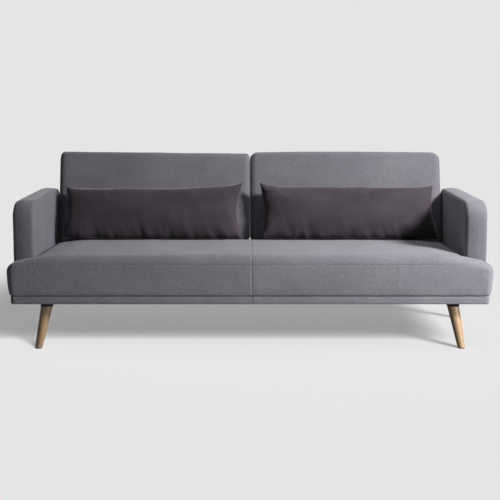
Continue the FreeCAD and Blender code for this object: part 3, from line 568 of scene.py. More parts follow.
def oak_for(label):
    """Oak whose grain runs along the splayed leg."""
    side = 1 if label.endswith("right") else -1
    reach = 1 if "front" in label else -1
    return timber(f"oak_{label}", OAK, (-reach * LEG_TILT, -side * LEG_TILT, 0), 0.42)


for label, node in frame["nodes"].items():
    slot = slot_of[label]
    dress(node, oak_for(label) if slot == "oak" else SLOT_MATERIALS[slot])


# Seat pad

FILL = 0.040
WING_RADIUS = 0.032
DECK_RADIUS = 0.009
PAD_RIM = 0.030
PAD_WALL = 0.0165
PAD_ROOF = 0.290
EDGE_SEAM_Z = 0.349
EDGE_SEAM_STEPS = (-0.006, -0.002, 0.0, 0.002)
EDGE_SEAM_DEPTH = 0.0009
SEAM_X = 0.007
SEAM_STEPS = (-0.016, -0.008, -0.003, 0.0, 0.003, 0.008, 0.016)
SEAM_WIDTH = 0.0026
SEAM_DEPTH = 0.0013
HEM_FLARE = 0.0062
SEAT_WAVES = ((0.16, 0.0014), (0.05, 0.0006))
PUCKERS = ((0.021, 0.0018), (0.055, 0.0014))


def t_corners():
    """The T of the seat seen from above, anticlockwise from the front right wing."""
    wing = WING_RADIUS
    deck = DECK_RADIUS
    return [(HALF_WIDTH, FRONT_Y, wing), (HALF_WIDTH, WING_BACK_Y, wing),
            (DECK_HALF, WING_BACK_Y, 0.0), (DECK_HALF, SEAT_REAR_Y, deck),
            (-DECK_HALF, SEAT_REAR_Y, deck), (-DECK_HALF, WING_BACK_Y, 0.0),
            (-HALF_WIDTH, WING_BACK_Y, wing), (-HALF_WIDTH, FRONT_Y, wing)]


def t_lines():
    """The grid lines over the T, across and front to back, closest by the middle seam."""
    seam = [SEAM_X + step for step in SEAM_STEPS]
    inner = grid_lines(-(DECK_HALF - FILL), DECK_HALF - FILL, 0.020, seam)
    outer = [DECK_HALF + step for step in (0.014, 0.034)]
    across = sorted([-x for x in outer] + inner + outer)
    wing = [FRONT_Y + FILL + step for step in (0.018, 0.037)]
    deck = grid_lines(WING_BACK_Y + 0.012, SEAT_REAR_Y - FILL - 0.020, 0.022)
    return across, wing + deck


SEAT_LIFT = 0.0015
SEAT_CROWN = 0.008
SEAT_FALL = 0.038
FALL_START = 0.740
FALL_REACH = 0.240
CROWN_HALF = 0.86


def seat_height(x, y):
    """How far the top stands above its plane: crowned in the middle, falling to the wings."""
    reach = np.clip((np.abs(x) - FALL_START) / FALL_REACH, 0, 1)
    middle = 1 - np.clip(np.abs(x) / CROWN_HALF, 0, 1) ** 4
    depth = np.clip(share(y, FRONT_Y, SEAT_REAR_Y), 0, 1)
    rise = SEAT_CROWN * middle * np.sin(np.pi * np.clip(depth * 1.08, 0, 1)) ** 0.6
    return rise + SEAT_LIFT - SEAT_FALL * reach ** 1.5


def pad_profile():
    """From the roof of the hollow down inside, round the hem, and up and over the side."""
    low = PAD_BOTTOM
    profile = [(FILL, PAD_ROOF), (0.022, PAD_ROOF), (PAD_WALL, PAD_ROOF - 0.006),
               (PAD_WALL, 0.255), (PAD_WALL, low + 0.004), (FLARE + 0.003, low + 0.0005),
               (FLARE - 0.0002, low + 0.0008), (FLARE - 0.0022, low + 0.0028),
               (FLARE - 0.0042, low + 0.0075)]
    start = PAD_BOTTOM + 0.012
    end = PAD_TOP - PAD_RIM
    seam = [EDGE_SEAM_Z + step for step in EDGE_SEAM_STEPS]
    for height in grid_lines(start, end, 0.018, seam)[1:-1]:
        up = share(height, start, end)
        profile.append((HEM_FLARE * (1 - up) ** 2.0, height))
    profile += arc(PAD_RIM, end, PAD_RIM, 0, 90, 6)
    profile.append((FILL, PAD_TOP))
    return profile


def seat_pad():
    across, along = t_lines()
    pad = loft("seat_pad", t_corners(), pad_profile(), across, along, as_drawn)
    p, n = points_and_normals(pad)
    x, y, z = p.T
    # nothing below moves the hollow inside, which is where the frame is
    inner_half = HALF_WIDTH - PAD_WALL - 0.002
    hollow = (z <= PAD_ROOF + 1e-4) & (n[:, 2] < -0.5) & (np.abs(x) < inner_half)
    lift = smooth(share(z, PAD_BOTTOM, PAD_TOP)) * (z > PAD_BOTTOM)
    lift[hollow] = 0
    shown = lift > 0
    top = np.clip(n[:, 2], 0, 1)
    front = np.clip(-n[:, 1], 0, 1) * (y < FRONT_Y + 0.05)
    sides = np.clip(1 - np.abs(n[:, 2]), 0, 1)
    p[:, 2] += seat_height(x, y) * lift
    push(p, n, uneven(p, 1, SEAT_WAVES) * lift)
    # the fabric pulls to the border seam in short upright puckers
    strips = np.column_stack([x, y * 0, z * 0.18])
    near = np.exp(-np.clip(z - PAD_BOTTOM, 0, 1) / 0.026) * (z > PAD_BOTTOM - 0.001)
    push(p, n, uneven(strips, 5, PUCKERS) * near * sides * shown)
    # the middle seam, over the top and down the front
    seam = bell(x - SEAM_X, SEAM_WIDTH) * SEAM_DEPTH
    push(p, n, -(seam * shown * np.clip(top + front, 0, 1)))
    # the seam round the edge, with the cloth standing up a little just above it
    ridge = bell(z - EDGE_SEAM_Z, 0.0024) * EDGE_SEAM_DEPTH
    ridge -= bell(z - EDGE_SEAM_Z - 0.007, 0.004) * 0.0005
    push(p, n, -(ridge * sides * shown))
    move_to(pad, p)
    dress(pad, FABRIC)
    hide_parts("seat_cover", "seat_foam", "seat_insulator_felt")
    return upholstered(pad, "seat")


def upholstered(piece, body):
    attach(piece, body)
    return piece


# Border band under the seat

BAND_PUCKERS = ((0.03, 0.0010), (0.09, 0.0008))
BAND_LIP = 0.0062


def band_profile():
    """Round the underside, up the outside, over the piped top and down the inside."""
    margin = FLARE + 0.004
    low = band_low.z
    top = band_high.z
    profile = [(FILL, low + 0.0016), (margin + 0.008, low + 0.0014),
               (margin + 0.003, low + 0.0016), (margin + 0.0022, low + 0.003),
               (margin + 0.0020, low + 0.010), (margin + 0.0020, top - 0.002),
               (margin + 0.0014, top), (margin - 0.0004, top - 0.0006),
               (margin - 0.0022, top - 0.004), (margin - 0.0030, top - 0.012),
               (margin - 0.0024, low + 0.012)]
    profile += arc(margin + 0.004, low + BAND_LIP, BAND_LIP, -8, -90, 4)
    profile += [(margin + 0.016, low), (FILL, low)]
    return profile


def seat_band():
    across, along = t_lines()
    band = ring_form("seat_band", t_corners(), band_profile(), across, along, as_drawn)
    p, n = points_and_normals(band)
    x, y, z = p.T
    sides = np.clip(1 - np.abs(n[:, 2]), 0, 1)
    strips = np.column_stack([x + y * 0.7, x * 0, z * 0.15])
    push(p, n, uneven(strips, 8, BAND_PUCKERS) * sides)
    seam = bell(x - SEAM_X, SEAM_WIDTH) * SEAM_DEPTH
    push(p, n, -(seam * np.clip(-n[:, 1], 0, 1)))
    move_to(band, p)
    dress(band, FABRIC)
    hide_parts("seat_border")
    return upholstered(band, "seat")


# Arms

ARM_FILL = 0.076
ARM_RIM = 0.017
ARM_BULGE = 0.003
ARM_FOOT_RADIUS = 0.006
ARM_REAR_RADIUS = 0.045
ARM_FRONT_RADIUS = 0.072
ARM_SEAM_DIP = ((-0.0014, 0.3), (0.0, 1.0), (0.0014, 0.3))
ARM_SEAM_DEPTH = 0.0016
ARM_STEP = 0.024
ARM_PUFF = 0.004
ARM_WAVES = ((0.13, 0.0013), (0.045, 0.0006))


def arm_profile():
    """From the inner side to the outer one, with a sewn seam just inside each edge."""
    inner = arm_low.x
    outer = arm_high.x
    rim = ARM_RIM
    seam = rim + 0.001
    profile = [(ARM_FILL, inner), (0.05, inner), (rim + 0.008, inner)]
    profile += [(seam - shift, inner + dip * ARM_SEAM_DEPTH) for shift, dip in ARM_SEAM_DIP]
    profile += arc(rim, inner + rim, rim, -82, -4, 5)
    profile += [(-ARM_BULGE * 0.7, inner + rim + 0.014), (-ARM_BULGE, (inner + outer) / 2),
                (-ARM_BULGE * 0.7, outer - rim - 0.014)]
    profile += arc(rim, outer - rim, rim, 4, 82, 5)
    profile += [(seam + shift, outer - dip * ARM_SEAM_DEPTH) for shift, dip in ARM_SEAM_DIP]
    profile += [(rim + 0.008, outer), (0.05, outer), (ARM_FILL, outer)]
    return profile


def arm(side):
    sign = 1 if side == "right" else -1
    seed = 20 if side == "right" else 30
    low, high = arm_low, arm_high
    corners = [(low.y, low.z, ARM_FOOT_RADIUS), (high.y, low.z, ARM_FOOT_RADIUS),
               (high.y, high.z, ARM_REAR_RADIUS), (low.y, high.z, ARM_FRONT_RADIUS)]
    lines_u = grid_lines(low.y + ARM_FILL, high.y - ARM_FILL, ARM_STEP)[1:-1]
    lines_v = grid_lines(low.z + ARM_FILL, high.z - ARM_FILL, ARM_STEP)[1:-1]
    piece = loft(f"arm_{side}", corners, arm_profile(), lines_u, lines_v,
                 lambda u, v, w: (sign * w, u, v))
    p, n = points_and_normals(piece)
    _, y, z = p.T
    along = np.clip(share(y, low.y, high.y), 0, 1)
    up = np.clip(share(z, low.z, high.z), 0, 1)
    p[:, 2] -= ARM_FALL * (1 - along) * up
    middle = np.sin(np.pi * along) ** 0.7 * np.sin(np.pi * up) ** 0.7
    flat = np.clip(np.abs(n[:, 0]), 0, 1) ** 4
    push(p, n, middle * flat * ARM_PUFF)
    push(p, n, uneven(p, seed, ARM_WAVES) * smooth(up * 3))
    move_to(piece, p)
    dress(piece, FABRIC)
    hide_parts(f"arm_cover_{side}", f"arm_foam_{side}")
    return upholstered(piece, "seat")


# Back halves, in their own frame until they lean

TOP_RADII = {"left": (0.009, 0.016), "right": (0.026, 0.030)}
BACK_FOOT_RADIUS = 0.010
BACK_FILL = 0.034
BACK_RIM = 0.020
BACK_HEM = 0.010
BACK_STEP = 0.022
SPLIT_GAP = 0.00015
ARM_GAP_X = 0.8812
INNER_SWELL = 0.0085
OUTER_SWELL = 0.0075
TOE_REACH = 0.014
TOP_DIP = {"left": 0.009, "right": 0.004}
BACK_WAVES = ((0.17, 0.0016), (0.06, 0.0006))


def back_face(x, z):
    """Where the padded front face stands at a place, once it has its crown."""
    across = np.clip(share(np.abs(x), BACK_INNER_X, BACK_OUTER_X), 0, 1)
    up = np.clip(share(z, BACK_FOOT, BACK_HEAD), 0, 1)
    full = np.clip(np.sin(np.pi * across), 0, 1) ** 0.5
    full = full * np.clip(np.sin(np.pi * up), 0, 1) ** 0.5
    return BACK_FACE - BACK_CROWN * full


def back_profile():
    """From the rear face, round its hem, along the side and round to the front face."""
    hem = BACK_HEM
    rim = BACK_RIM
    profile = [(BACK_FILL, BACK_REAR), (hem + 0.004, BACK_REAR)]
    profile += arc(hem, BACK_REAR - hem, hem, 90, 0, 4)
    profile += [(0.0, y) for y in (0.035, 0.005, -0.018, -0.030)]
    profile += arc(rim, BACK_FACE + rim, rim, -6, -84, 6)
    profile += [(rim + 0.005, BACK_FACE - 0.0002), (BACK_FILL, BACK_FACE)]
    return profile


def side_swell(y, z):
    """Where the sides may swell: in front of the hinge arms and above them."""
    ahead = smooth((-0.026 - y) / 0.010) * smooth((z - 0.040) / 0.020)
    above = smooth((z - 0.200) / 0.030)
    return np.maximum(ahead, above) * smooth((BACK_HEAD + 0.006 - z) / 0.040)


def back(side):
    sign = 1 if side == "right" else -1
    seed = 40 if side == "right" else 50
    inner_radius, outer_radius = TOP_RADII[side]
    corners = [(BACK_INNER_X, BACK_FOOT, BACK_FOOT_RADIUS),
               (BACK_OUTER_X, BACK_FOOT, BACK_FOOT_RADIUS),
               (BACK_OUTER_X, BACK_HEAD, outer_radius), (BACK_INNER_X, BACK_HEAD, inner_radius)]
    lines_u = grid_lines(BACK_INNER_X + BACK_FILL, BACK_OUTER_X - BACK_FILL, BACK_STEP)[1:-1]
    lines_v = grid_lines(BACK_FOOT + BACK_FILL, BACK_HEAD - BACK_FILL, BACK_STEP)[1:-1]
    piece = loft(f"back_pad_{side}", corners, back_profile(), lines_u, lines_v,
                 lambda u, v, w: (sign * u, w, v))
    p, n = points_and_normals(piece)
    x, y, z = p.T
    front = smooth((0.02 - y) / 0.07)
    p[:, 1] += (back_face(x, z) - BACK_FACE) * front
    # the inner sides swell until they close the split, the outer ones towards the arms
    swell = side_swell(y, z)
    inner_side = np.clip(-sign * n[:, 0], 0, 1) ** 2
    outer_side = np.clip(sign * n[:, 0], 0, 1) ** 2
    p[:, 0] += sign * swell * (OUTER_SWELL * outer_side - INNER_SWELL * inner_side)
    toe = np.clip((0.012 - z) / 0.042, 0, 1) ** 2
    p[:, 1] += TOE_REACH * toe * front
    # the top edge dips: the left one towards the split, the right one at both ends
    across = np.clip(share(sign * x, BACK_INNER_X, BACK_OUTER_X), 0, 1)
    bend = 1 - across if side == "left" else (2 * across - 1) ** 2
    p[:, 2] -= TOP_DIP[side] * bend * smooth(share(z, 0.300, BACK_HEAD))
    push(p, n, uneven(p, seed, BACK_WAVES) * smooth((z + 0.01) / 0.08))
    nearest = BACK_INNER_X + (SPLIT_GAP - BACK_INNER_X) * swell
    furthest = BACK_OUTER_X + (ARM_GAP_X - BACK_OUTER_X) * swell
    p[:, 0] = sign * np.clip(sign * p[:, 0], nearest, furthest)
    move_to(piece, p)
    piece.data.transform(leaning)
    dress(piece, FABRIC)
    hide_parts(f"back_cover_{side}", f"back_foam_{side}")
    return upholstered(piece, f"back_{side}")


# Loose cushions, sewn flat and blown up

CUSHION_STEP = 0.012
SEWN_LENGTH = CUSHION_SIZE.x + 0.024
SEWN_HEIGHT = CUSHION_SIZE.z + 0.026
COLUMNS = round(SEWN_LENGTH / CUSHION_STEP)
ROWS = round(SEWN_HEIGHT / CUSHION_STEP)
PANEL_PUFF = 0.012


def panel_share(i, j):
    """A grid point's place on the panel, from -1 to 1 each way."""
    return i / COLUMNS * 2 - 1, j / ROWS * 2 - 1


def on_rim(i, j):
    return i in (0, COLUMNS) or j in (0, ROWS)


def grid_places():
    """The (column, row) of each vertex, in the order that flat_cushion makes them."""
    places = [(i, j) for j in range(ROWS + 1) for i in range(COLUMNS + 1)]
    places += [(i, j) for j in range(1, ROWS) for i in range(1, COLUMNS)]
    return places


def flat_cushion(name):
    """Two flat panels that share their edge, a little apart in the middle."""
    bm = bmesh.new()
    panels = []
    for face in (-1, 1):
        grid = []
        for j in range(ROWS + 1):
            row = []
            for i in range(COLUMNS + 1):
                if face == 1 and on_rim(i, j):
                    row.append(panels[0][j][i])
                    continue
                u, v = panel_share(i, j)
                puff = PANEL_PUFF * (1 - u ** 8) * (1 - v ** 4)
                place = (u * SEWN_LENGTH / 2, face * puff, v * SEWN_HEIGHT / 2)
                row.append(bm.verts.new(place))
            grid.append(row)
        panels.append(grid)
        for j in range(ROWS):
            for i in range(COLUMNS):
                quad = (grid[j][i], grid[j][i + 1], grid[j + 1][i + 1], grid[j + 1][i])
                bm.faces.new(quad if face == -1 else quad[::-1])
    return new_piece(name, bm)


PRESSURE = 4.0
CLOTH_FRAMES = 26
CLOTH_STIFFNESS = 18.0


def blow_up(piece):
    """Cloth pressure with gravity off, stepped frame by frame, then kept as plain mesh."""
    modifier = piece.modifiers.new("Cloth", "CLOTH")
    cloth = modifier.settings
    cloth.quality = 6
    cloth.mass = 0.25
    cloth.tension_stiffness = CLOTH_STIFFNESS
    cloth.compression_stiffness = CLOTH_STIFFNESS
    cloth.shear_stiffness = CLOTH_STIFFNESS * 0.3
    cloth.bending_stiffness = 0.6
    cloth.air_damping = 2.0
    cloth.use_pressure = True
    cloth.uniform_pressure_force = PRESSURE
    cloth.effector_weights.gravity = 0
    modifier.collision_settings.use_collision = False
    modifier.point_cache.frame_start = 1
    modifier.point_cache.frame_end = CLOTH_FRAMES
    scene = bpy.context.scene
    for step in range(1, CLOTH_FRAMES + 1):
        scene.frame_set(step)
    settle(piece)
    scene.frame_set(1)


def fit_box(p, size):
    low, high = p.min(0), p.max(0)
    return (p - (low + high) / 2) / (high - low) * np.array(size)


# Each cushion's outline. An ear is how high a top corner rises and over what share of the
# length, an end is how far it passes the CAD box, a pull is how far the middle of an end
# draws in, and the lean is how far the outer top corner stands in from the bottom one.
OUTLINE = {
    "left": {"inner_ear": (0.022, 0.20), "outer_ear": (0.010, 0.04), "inner_end": 0.007,
             "outer_end": 0.010, "inner_pull": 0.030, "outer_pull": 0.012, "lean": 0.015},
    "right": {"inner_ear": (0.017, 0.08), "outer_ear": (0.009, 0.12), "inner_end": -0.004,
              "outer_end": 0.010, "inner_pull": 0.020, "outer_pull": 0.018, "lean": 0.018},
}
TIP = 0.006
TOP_SAG = 0.002
FOOT_RISE = 0.004
EVENNESS = 0.8


def outline_at(u, v, side):
    """The sewn outline's low, top, west and east at a share (u, v) of the panel."""
    shape = OUTLINE[side]
    inward = -1 if side == "right" else 1
    rise_in, share_in = shape["inner_ear"]
    rise_out, share_out = shape["outer_ear"]
    to_inner = 1 - u * inward
    to_outer = 1 + u * inward
    rise = rise_in * math.exp(-to_inner / share_in) + rise_out * math.exp(-to_outer / share_out)
    half_x, half_z = CUSHION_SIZE.x / 2, CUSHION_SIZE.z / 2
    top = half_z + TIP - rise_in + rise - TOP_SAG * (1 - abs(u) ** 3)
    low = -half_z + FOOT_RISE * (1 - math.exp(-(1 - abs(u)) / 0.035))
    middle = 1 - abs(v) ** 1.6
    inner_x = half_x + shape["inner_end"] - shape["inner_pull"] * middle
    outer_x = half_x + shape["outer_end"] - shape["outer_pull"] * middle
    outer_x -= shape["lean"] * (1 + v) / 2
    if side == "right":
        return low, top, -inner_x, outer_x
    return low, top, -outer_x, inner_x


def evened(even, value, start, end):
    """A share of the way from start to end, drawn most of the way to the even one."""
    return EVENNESS * even + (1 - EVENNESS) * min(max(share(value, start, end), 0), 1)


def true_edges(p, side):
    """Draws the blown-up panels back to the seams' own outline."""
    x_new, z_new = p[:, 0].copy(), p[:, 2].copy()
    for index, (i, j) in enumerate(grid_places()):
        u, v = panel_share(i, j)
        low, top, west, east = outline_at(u, v, side)
        foot_rim = i
        head_rim = ROWS * (COLUMNS + 1) + i
        west_rim = j * (COLUMNS + 1)
        east_rim = west_rim + COLUMNS
        up = evened((1 + v) / 2, p[index, 2], p[foot_rim, 2], p[head_rim, 2])
        across = evened((1 + u) / 2, p[index, 0], p[west_rim, 0], p[east_rim, 0])
        z_new[index] = low + up * (top - low)
        x_new[index] = west + across * (east - west)
    p[:, 0], p[:, 2] = x_new, z_new
    return p


def relaxed(piece, values, rounds):
    """Evens out a value over the mesh, each point taking up half its neighbours' mean."""
    ends = np.empty(len(piece.data.edges) * 2, dtype=int)
    piece.data.edges.foreach_get("vertices", ends)
    a, b = ends.reshape(-1, 2).T
    count = np.bincount(a, minlength=len(values)) + np.bincount(b, minlength=len(values))
    for _ in range(rounds):
        total = np.bincount(a, values[b], len(values)) + np.bincount(b, values[a], len(values))
        values = 0.5 * values + 0.5 * total / count
    return values


def mark_places(piece):
    """Remembers where each point lies on the flat panel, so that it survives subdivision."""
    marks = piece.data.attributes.new("panel", "FLOAT_VECTOR", "POINT")
    for index, (i, j) in enumerate(grid_places()):
        u, v = panel_share(i, j)
        marks.data[index].vector = (u * CUSHION_SIZE.x / 2, 0, v * CUSHION_SIZE.z / 2)


def marked_places(piece):
    marks = piece.data.attributes["panel"]
    places = vectors(marks.data, "vector")
    piece.data.attributes.remove(marks)
    return places


def crease_rim(piece):
    """Keeps the sewn edge sharp under subdivision."""
    rim = {index for index, (i, j) in enumerate(grid_places()) if on_rim(i, j)}
    crease = piece.data.attributes.new("crease_edge", "FLOAT", "EDGE")
    for edge in piece.data.edges:
        a, b = edge.vertices
        if a in rim and b in rim:
            crease.data[edge.index].value = 0.85


# Loose cushions, finished and put in place

PLUMPNESS = 0.55
FOOT_GATHERS = (0.044, 0.0150)
HEAD_GATHERS = (0.022, 0.0024)
END_GATHERS = (0.034, 0.0075)
FLANGE = 0.0085
HEM = 0.0030
INNER_END_FORWARD = {"left": 0.003, "right": 0.010}
BACK_CLEARANCE = 0.003
SEAT_CLEARANCE = 0.0025
FORWARD_STOP = math.radians(15)
SHIFT_RATIO = 0.119


def gathers(places, to_seam, size, seed):
    """Folds across a seam: deepest just off it, and fading out over their reach."""
    reach, depth = size
    near = np.exp(-to_seam / reach) * np.clip(to_seam / 0.010, 0, 1)
    folds = 0.6 * lumps(places, 0.030, seed) + 0.7 * lumps(places, 0.062, seed + 20)
    return folds * near * depth


def sewn_cushion(side, seed):
    """A filled cushion about the origin, and where its points lay on the flat panel."""
    piece = flat_cushion(f"cushion_{side}")
    p = points_of(piece)
    p[:, 1] += lumps(p, 0.05, seed) * 0.003
    p[:, 2] += lumps(p, 0.08, seed + 1) * 0.002
    move_to(piece, p)
    blow_up(piece)
    p = true_edges(fit_box(points_of(piece), CUSHION_SIZE), side)
    half_y = CUSHION_SIZE.y / 2
    p[:, 1] = relaxed(piece, p[:, 1], 3)
    p[:, 1] = np.sign(p[:, 1]) * half_y * (np.abs(p[:, 1]) / half_y) ** PLUMPNESS
    move_to(piece, p)
    crease_rim(piece)
    mark_places(piece)
    subdivide(piece, 2)
    return piece, marked_places(piece)


def cushion(side):
    sign = 1 if side == "right" else -1
    seed = 60 if side == "right" else 71
    piece, flat = sewn_cushion(side, seed)
    p = points_of(piece)
    outward = np.where(p[:, 1] < 0, -1.0, 1.0)
    # gathers run in from the seams, longest from the bottom one, and a flat hem edges it
    to_end = CUSHION_SIZE.x / 2 - np.abs(flat[:, 0])
    to_head = CUSHION_SIZE.z / 2 - flat[:, 2]
    to_foot = CUSHION_SIZE.z / 2 + flat[:, 2]
    upright = np.column_stack([flat[:, 0] + 0.25 * flat[:, 2], flat[:, 0] * 0, flat[:, 2] * 0.22])
    level = np.column_stack([flat[:, 2] + 3.0, flat[:, 0] * 0, flat[:, 0] * 0.22])
    p[:, 1] += outward * gathers(upright, to_foot, FOOT_GATHERS, seed + 3)
    p[:, 1] += outward * gathers(upright, to_head, HEAD_GATHERS, seed + 4)
    p[:, 1] += outward * gathers(level, to_end, END_GATHERS, seed + 5)
    hem = bell(to_foot - FLANGE, HEM) * HEM
    p[:, 1] -= outward * hem * np.clip(np.abs(p[:, 1]) / 0.006, 0, 1)
    # its inner end stands a little forward, most on the right-hand one
    p[:, 1] -= INNER_END_FORWARD[side] * smooth(0.5 - sign * flat[:, 0] / CUSHION_SIZE.x)
    # it leans on the back and stands on the seat, and is flat only there
    p[:, 0] += sign * CUSHION_X
    p[:, 1] += BACK_FACE - 0.002 - CUSHION_SIZE.y / 2
    p[:, 2] += CUSHION_FOOT + CUSHION_SIZE.z / 2
    p[:, 1] = np.minimum(p[:, 1], BACK_FACE - BACK_CROWN - BACK_CLEARANCE)
    for fold in (0.0, FORWARD_STOP):
        p[:, 2] += above_seat(p, fold)
    move_to(piece, p)
    piece.data.transform(leaning)
    dress(piece, PILE)
    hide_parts(f"cushion_cover_{side}", f"cushion_filling_{side}")
    return upholstered(piece, f"cushion_{side}")


def above_seat(p, fold):
    """How far points in the back's own frame must rise to clear the seat at a fold angle."""
    y = p[:, 1]
    z = p[:, 2] + SHIFT_RATIO * fold
    turn = fold - LEAN
    world_y = PIVOT.y + y * math.cos(turn) - z * math.sin(turn)
    world_z = PIVOT.z + y * math.sin(turn) + z * math.cos(turn)
    seat = PAD_TOP + seat_height(p[:, 0], world_y) + SEAT_CLEARANCE
    return np.maximum(seat - world_z, 0) / math.cos(turn)


# Dust cover under the seat

DUST_DECK_HALF = 0.8683
DUST_SHOULDER_Y = WING_BACK_Y - 0.028
DUST_RADIUS = 0.004
DUST_FILL = 0.010
DUST_STEP = 0.03
DUST_SAG = 0.0022
DUST_CREASE = 0.0005


def dust_cover():
    low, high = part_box("seat_dust_cover")
    wide = high.x
    deck = DUST_DECK_HALF
    shoulder = DUST_SHOULDER_Y
    corners = [(wide, low.y, DUST_RADIUS), (wide, shoulder, DUST_RADIUS), (deck, shoulder, 0.0),
               (deck, high.y, DUST_RADIUS), (-deck, high.y, DUST_RADIUS), (-deck, shoulder, 0.0),
               (-wide, shoulder, DUST_RADIUS), (-wide, low.y, DUST_RADIUS)]
    profile = [(DUST_FILL, high.z), (0.001, high.z), (0.0, (low.z + high.z) / 2),
               (0.001, low.z), (DUST_FILL, low.z)]
    lines_u = grid_lines(-(deck - DUST_FILL), deck - DUST_FILL, DUST_STEP)
    lines_v = grid_lines(WING_BACK_Y + 0.006, high.y - 0.03, DUST_STEP)
    piece = loft("dust_cover", corners, profile, lines_u, lines_v, as_drawn)
    p = points_of(piece)
    x, y, z = p.T
    # it is pulled tight at its edges and sags a little in between
    crease = lumps(np.column_stack([x, y * 0.25, z * 0]), 0.05, 80)
    middle = np.clip(1 - (np.abs(x) / wide) ** 6, 0, 1)
    depth = np.clip(share(y, low.y, high.y), 0, 1)
    p[:, 2] -= DUST_SAG * middle * np.sin(np.pi * depth) + DUST_CREASE * crease * middle
    move_to(piece, p)
    dress(piece, SLOT_MATERIALS["black_cloth"])
    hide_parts("seat_dust_cover")
    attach(piece, "seat")
    return piece


seat_pieces = [seat_pad(), seat_band()]
for side in ("left", "right"):
    arm(side)
    back(side)
    cushion(side)
dust_cover()


# Floor, lights, camera

FLOOR_SEEN = (0.80, 0.80, 0.80)
FLOOR_BOUNCE = (0.20, 0.20, 0.20)
FLOOR_HALF = 9.0
FADE_START = 2.2
FADE_END = 6.0
BACKGROUND = (0.785, 0.785, 0.785)
AMBIENT = (0.97, 0.98, 1.0)
AMBIENT_STRENGTH = 0.045
WARM = (1.0, 0.99, 0.98)
WHITE = (1.0, 1.0, 1.0)


def floor():
    """A pale studio floor that fades into the background well away from the object."""
    bm = bmesh.new()
    bmesh.ops.create_grid(bm, x_segments=24, y_segments=24, size=FLOOR_HALF)
    piece = new_piece("floor", bm)
    shader = Shader("studio_floor", FLOOR_SEEN, 0.9, Specular_IOR_Level=0.0)
    # it is darker for bounced rays, so that it does not wash out the shading above it
    path = shader.add("ShaderNodeLightPath")
    shader.color_from(shader.mix(path.outputs["Is Camera Ray"], FLOOR_BOUNCE, FLOOR_SEEN))
    reach = shader.add("ShaderNodeVectorMath", operation="LENGTH")
    shader.link(shader.place, reach.inputs[0])
    fade = shader.add("ShaderNodeMapRange", interpolation_type="SMOOTHSTEP")
    shader.link(reach.outputs["Value"], fade.inputs["Value"])
    fade.inputs["From Min"].default_value = FADE_START
    fade.inputs["From Max"].default_value = FADE_END
    clear = shader.add("ShaderNodeBsdfTransparent")
    blend = shader.add("ShaderNodeMixShader")
    shader.link(fade.outputs["Result"], blend.inputs[0])
    shader.link(shader.shader.outputs[0], blend.inputs[1])
    shader.link(clear.outputs[0], blend.inputs[2])
    shader.link(blend.outputs[0], shader.output.inputs["Surface"])
    dress(piece, shader.material)
    return piece


def lamp(name, place, target, size, power, color):
    data = bpy.data.lights.new(name, "AREA")
    data.shape = "RECTANGLE"
    data.size, data.size_y = size
    data.energy = power
    data.color = color
    return aim(name, data, place, target)


def sun(name, direction, strength, angle, shadow):
    data = bpy.data.lights.new(name, "SUN")
    data.energy = strength
    data.angle = math.radians(angle)
    data.use_shadow = shadow
    return aim(name, data, direction, (0, 0, 0))


def aim(name, data, place, target):
    made = bpy.data.objects.new(name, data)
    made.location = place
    made.rotation_mode = "QUATERNION"
    made.rotation_quaternion = (Vector(target) - Vector(place)).to_track_quat("-Z", "Y")
    bpy.context.scene.collection.objects.link(made)
    return made


def only_on(lights, pieces, state):
    """Lights fall only on the pieces (INCLUDE) or on everything but them (EXCLUDE)."""
    group = bpy.data.collections.new(f"{state.lower()}_for_{lights[0].name}")
    for piece in pieces:
        group.objects.link(piece)
    for member in group.collection_objects:
        member.light_linking.link_state = state
    for light in lights:
        light.light_linking.receiver_collection = group


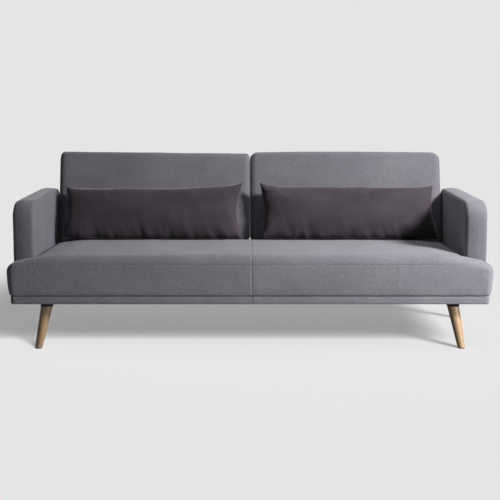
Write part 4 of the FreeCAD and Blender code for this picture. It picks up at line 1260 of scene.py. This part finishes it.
def world():
    """A dim ambient light, behind a plain pale backdrop for what is seen or mirrored."""
    made = bpy.data.worlds.new("studio")
    bpy.context.scene.world = made
    made.use_nodes = True
    tree = made.node_tree
    tree.nodes.clear()
    output = tree.nodes.new("ShaderNodeOutputWorld")
    light = tree.nodes.new("ShaderNodeBackground")
    light.inputs["Color"].default_value = (*AMBIENT, 1)
    light.inputs["Strength"].default_value = AMBIENT_STRENGTH
    seen = tree.nodes.new("ShaderNodeBackground")
    seen.inputs["Color"].default_value = (*BACKGROUND, 1)
    path = tree.nodes.new("ShaderNodeLightPath")
    either = tree.nodes.new("ShaderNodeMath")
    either.operation = "MAXIMUM"
    tree.links.new(path.outputs["Is Camera Ray"], either.inputs[0])
    tree.links.new(path.outputs["Is Glossy Ray"], either.inputs[1])
    mix = tree.nodes.new("ShaderNodeMixShader")
    tree.links.new(either.outputs[0], mix.inputs[0])
    tree.links.new(light.outputs[0], mix.inputs[1])
    tree.links.new(seen.outputs[0], mix.inputs[2])
    tree.links.new(mix.outputs[0], output.inputs["Surface"])


CAMERA_PLACE = (0, -4.672, 0.925)
CAMERA_PITCH = 7.2


def camera():
    data = bpy.data.cameras.new("photo_camera")
    data.sensor_width = 36
    data.lens = 77.1
    data.shift_y = 0.010
    data.clip_start = 0.05
    data.clip_end = 80
    made = bpy.data.objects.new("photo_camera", data)
    made.location = CAMERA_PLACE
    made.rotation_euler = (math.radians(90 - CAMERA_PITCH), 0, 0)
    bpy.context.scene.collection.objects.link(made)
    bpy.context.scene.camera = made


ground = floor()
legs = [node for label, node in frame["nodes"].items() if slot_of[label] == "oak"]
key = lamp("key", (2.4, -1.56, 1.8), (0.2, 0, 0.40), size=(0.5, 0.5), power=122, color=WARM)
low = lamp("low", (2.55, -2.0, 0.45), (0.2, 0, 0.35), size=(0.5, 0.5), power=52, color=WARM)
overhead = lamp("overhead", (0.6, 0.45, 2.4), (0.3, -0.1, 0), size=(1.6, 0.5), power=14,
                color=WHITE)
rear = lamp("rear", (-2.0, 3.4, 1.0), (0, 0, 0.35), size=(1.4, 1.0), power=75, color=WHITE)
only_on([key, overhead, rear], [ground], "EXCLUDE")
only_on([low], seat_pieces + legs, "INCLUDE")
cast = sun("floor_cast", (0.158, -0.28, 0.187), strength=3.45, angle=20, shadow=True)
wash = sun("floor_wash", (0, 0, 1), strength=1.22, angle=10, shadow=False)
only_on([cast, wash], [ground], "INCLUDE")
world()
camera()

bpy.context.scene.view_settings.view_transform = "Standard"
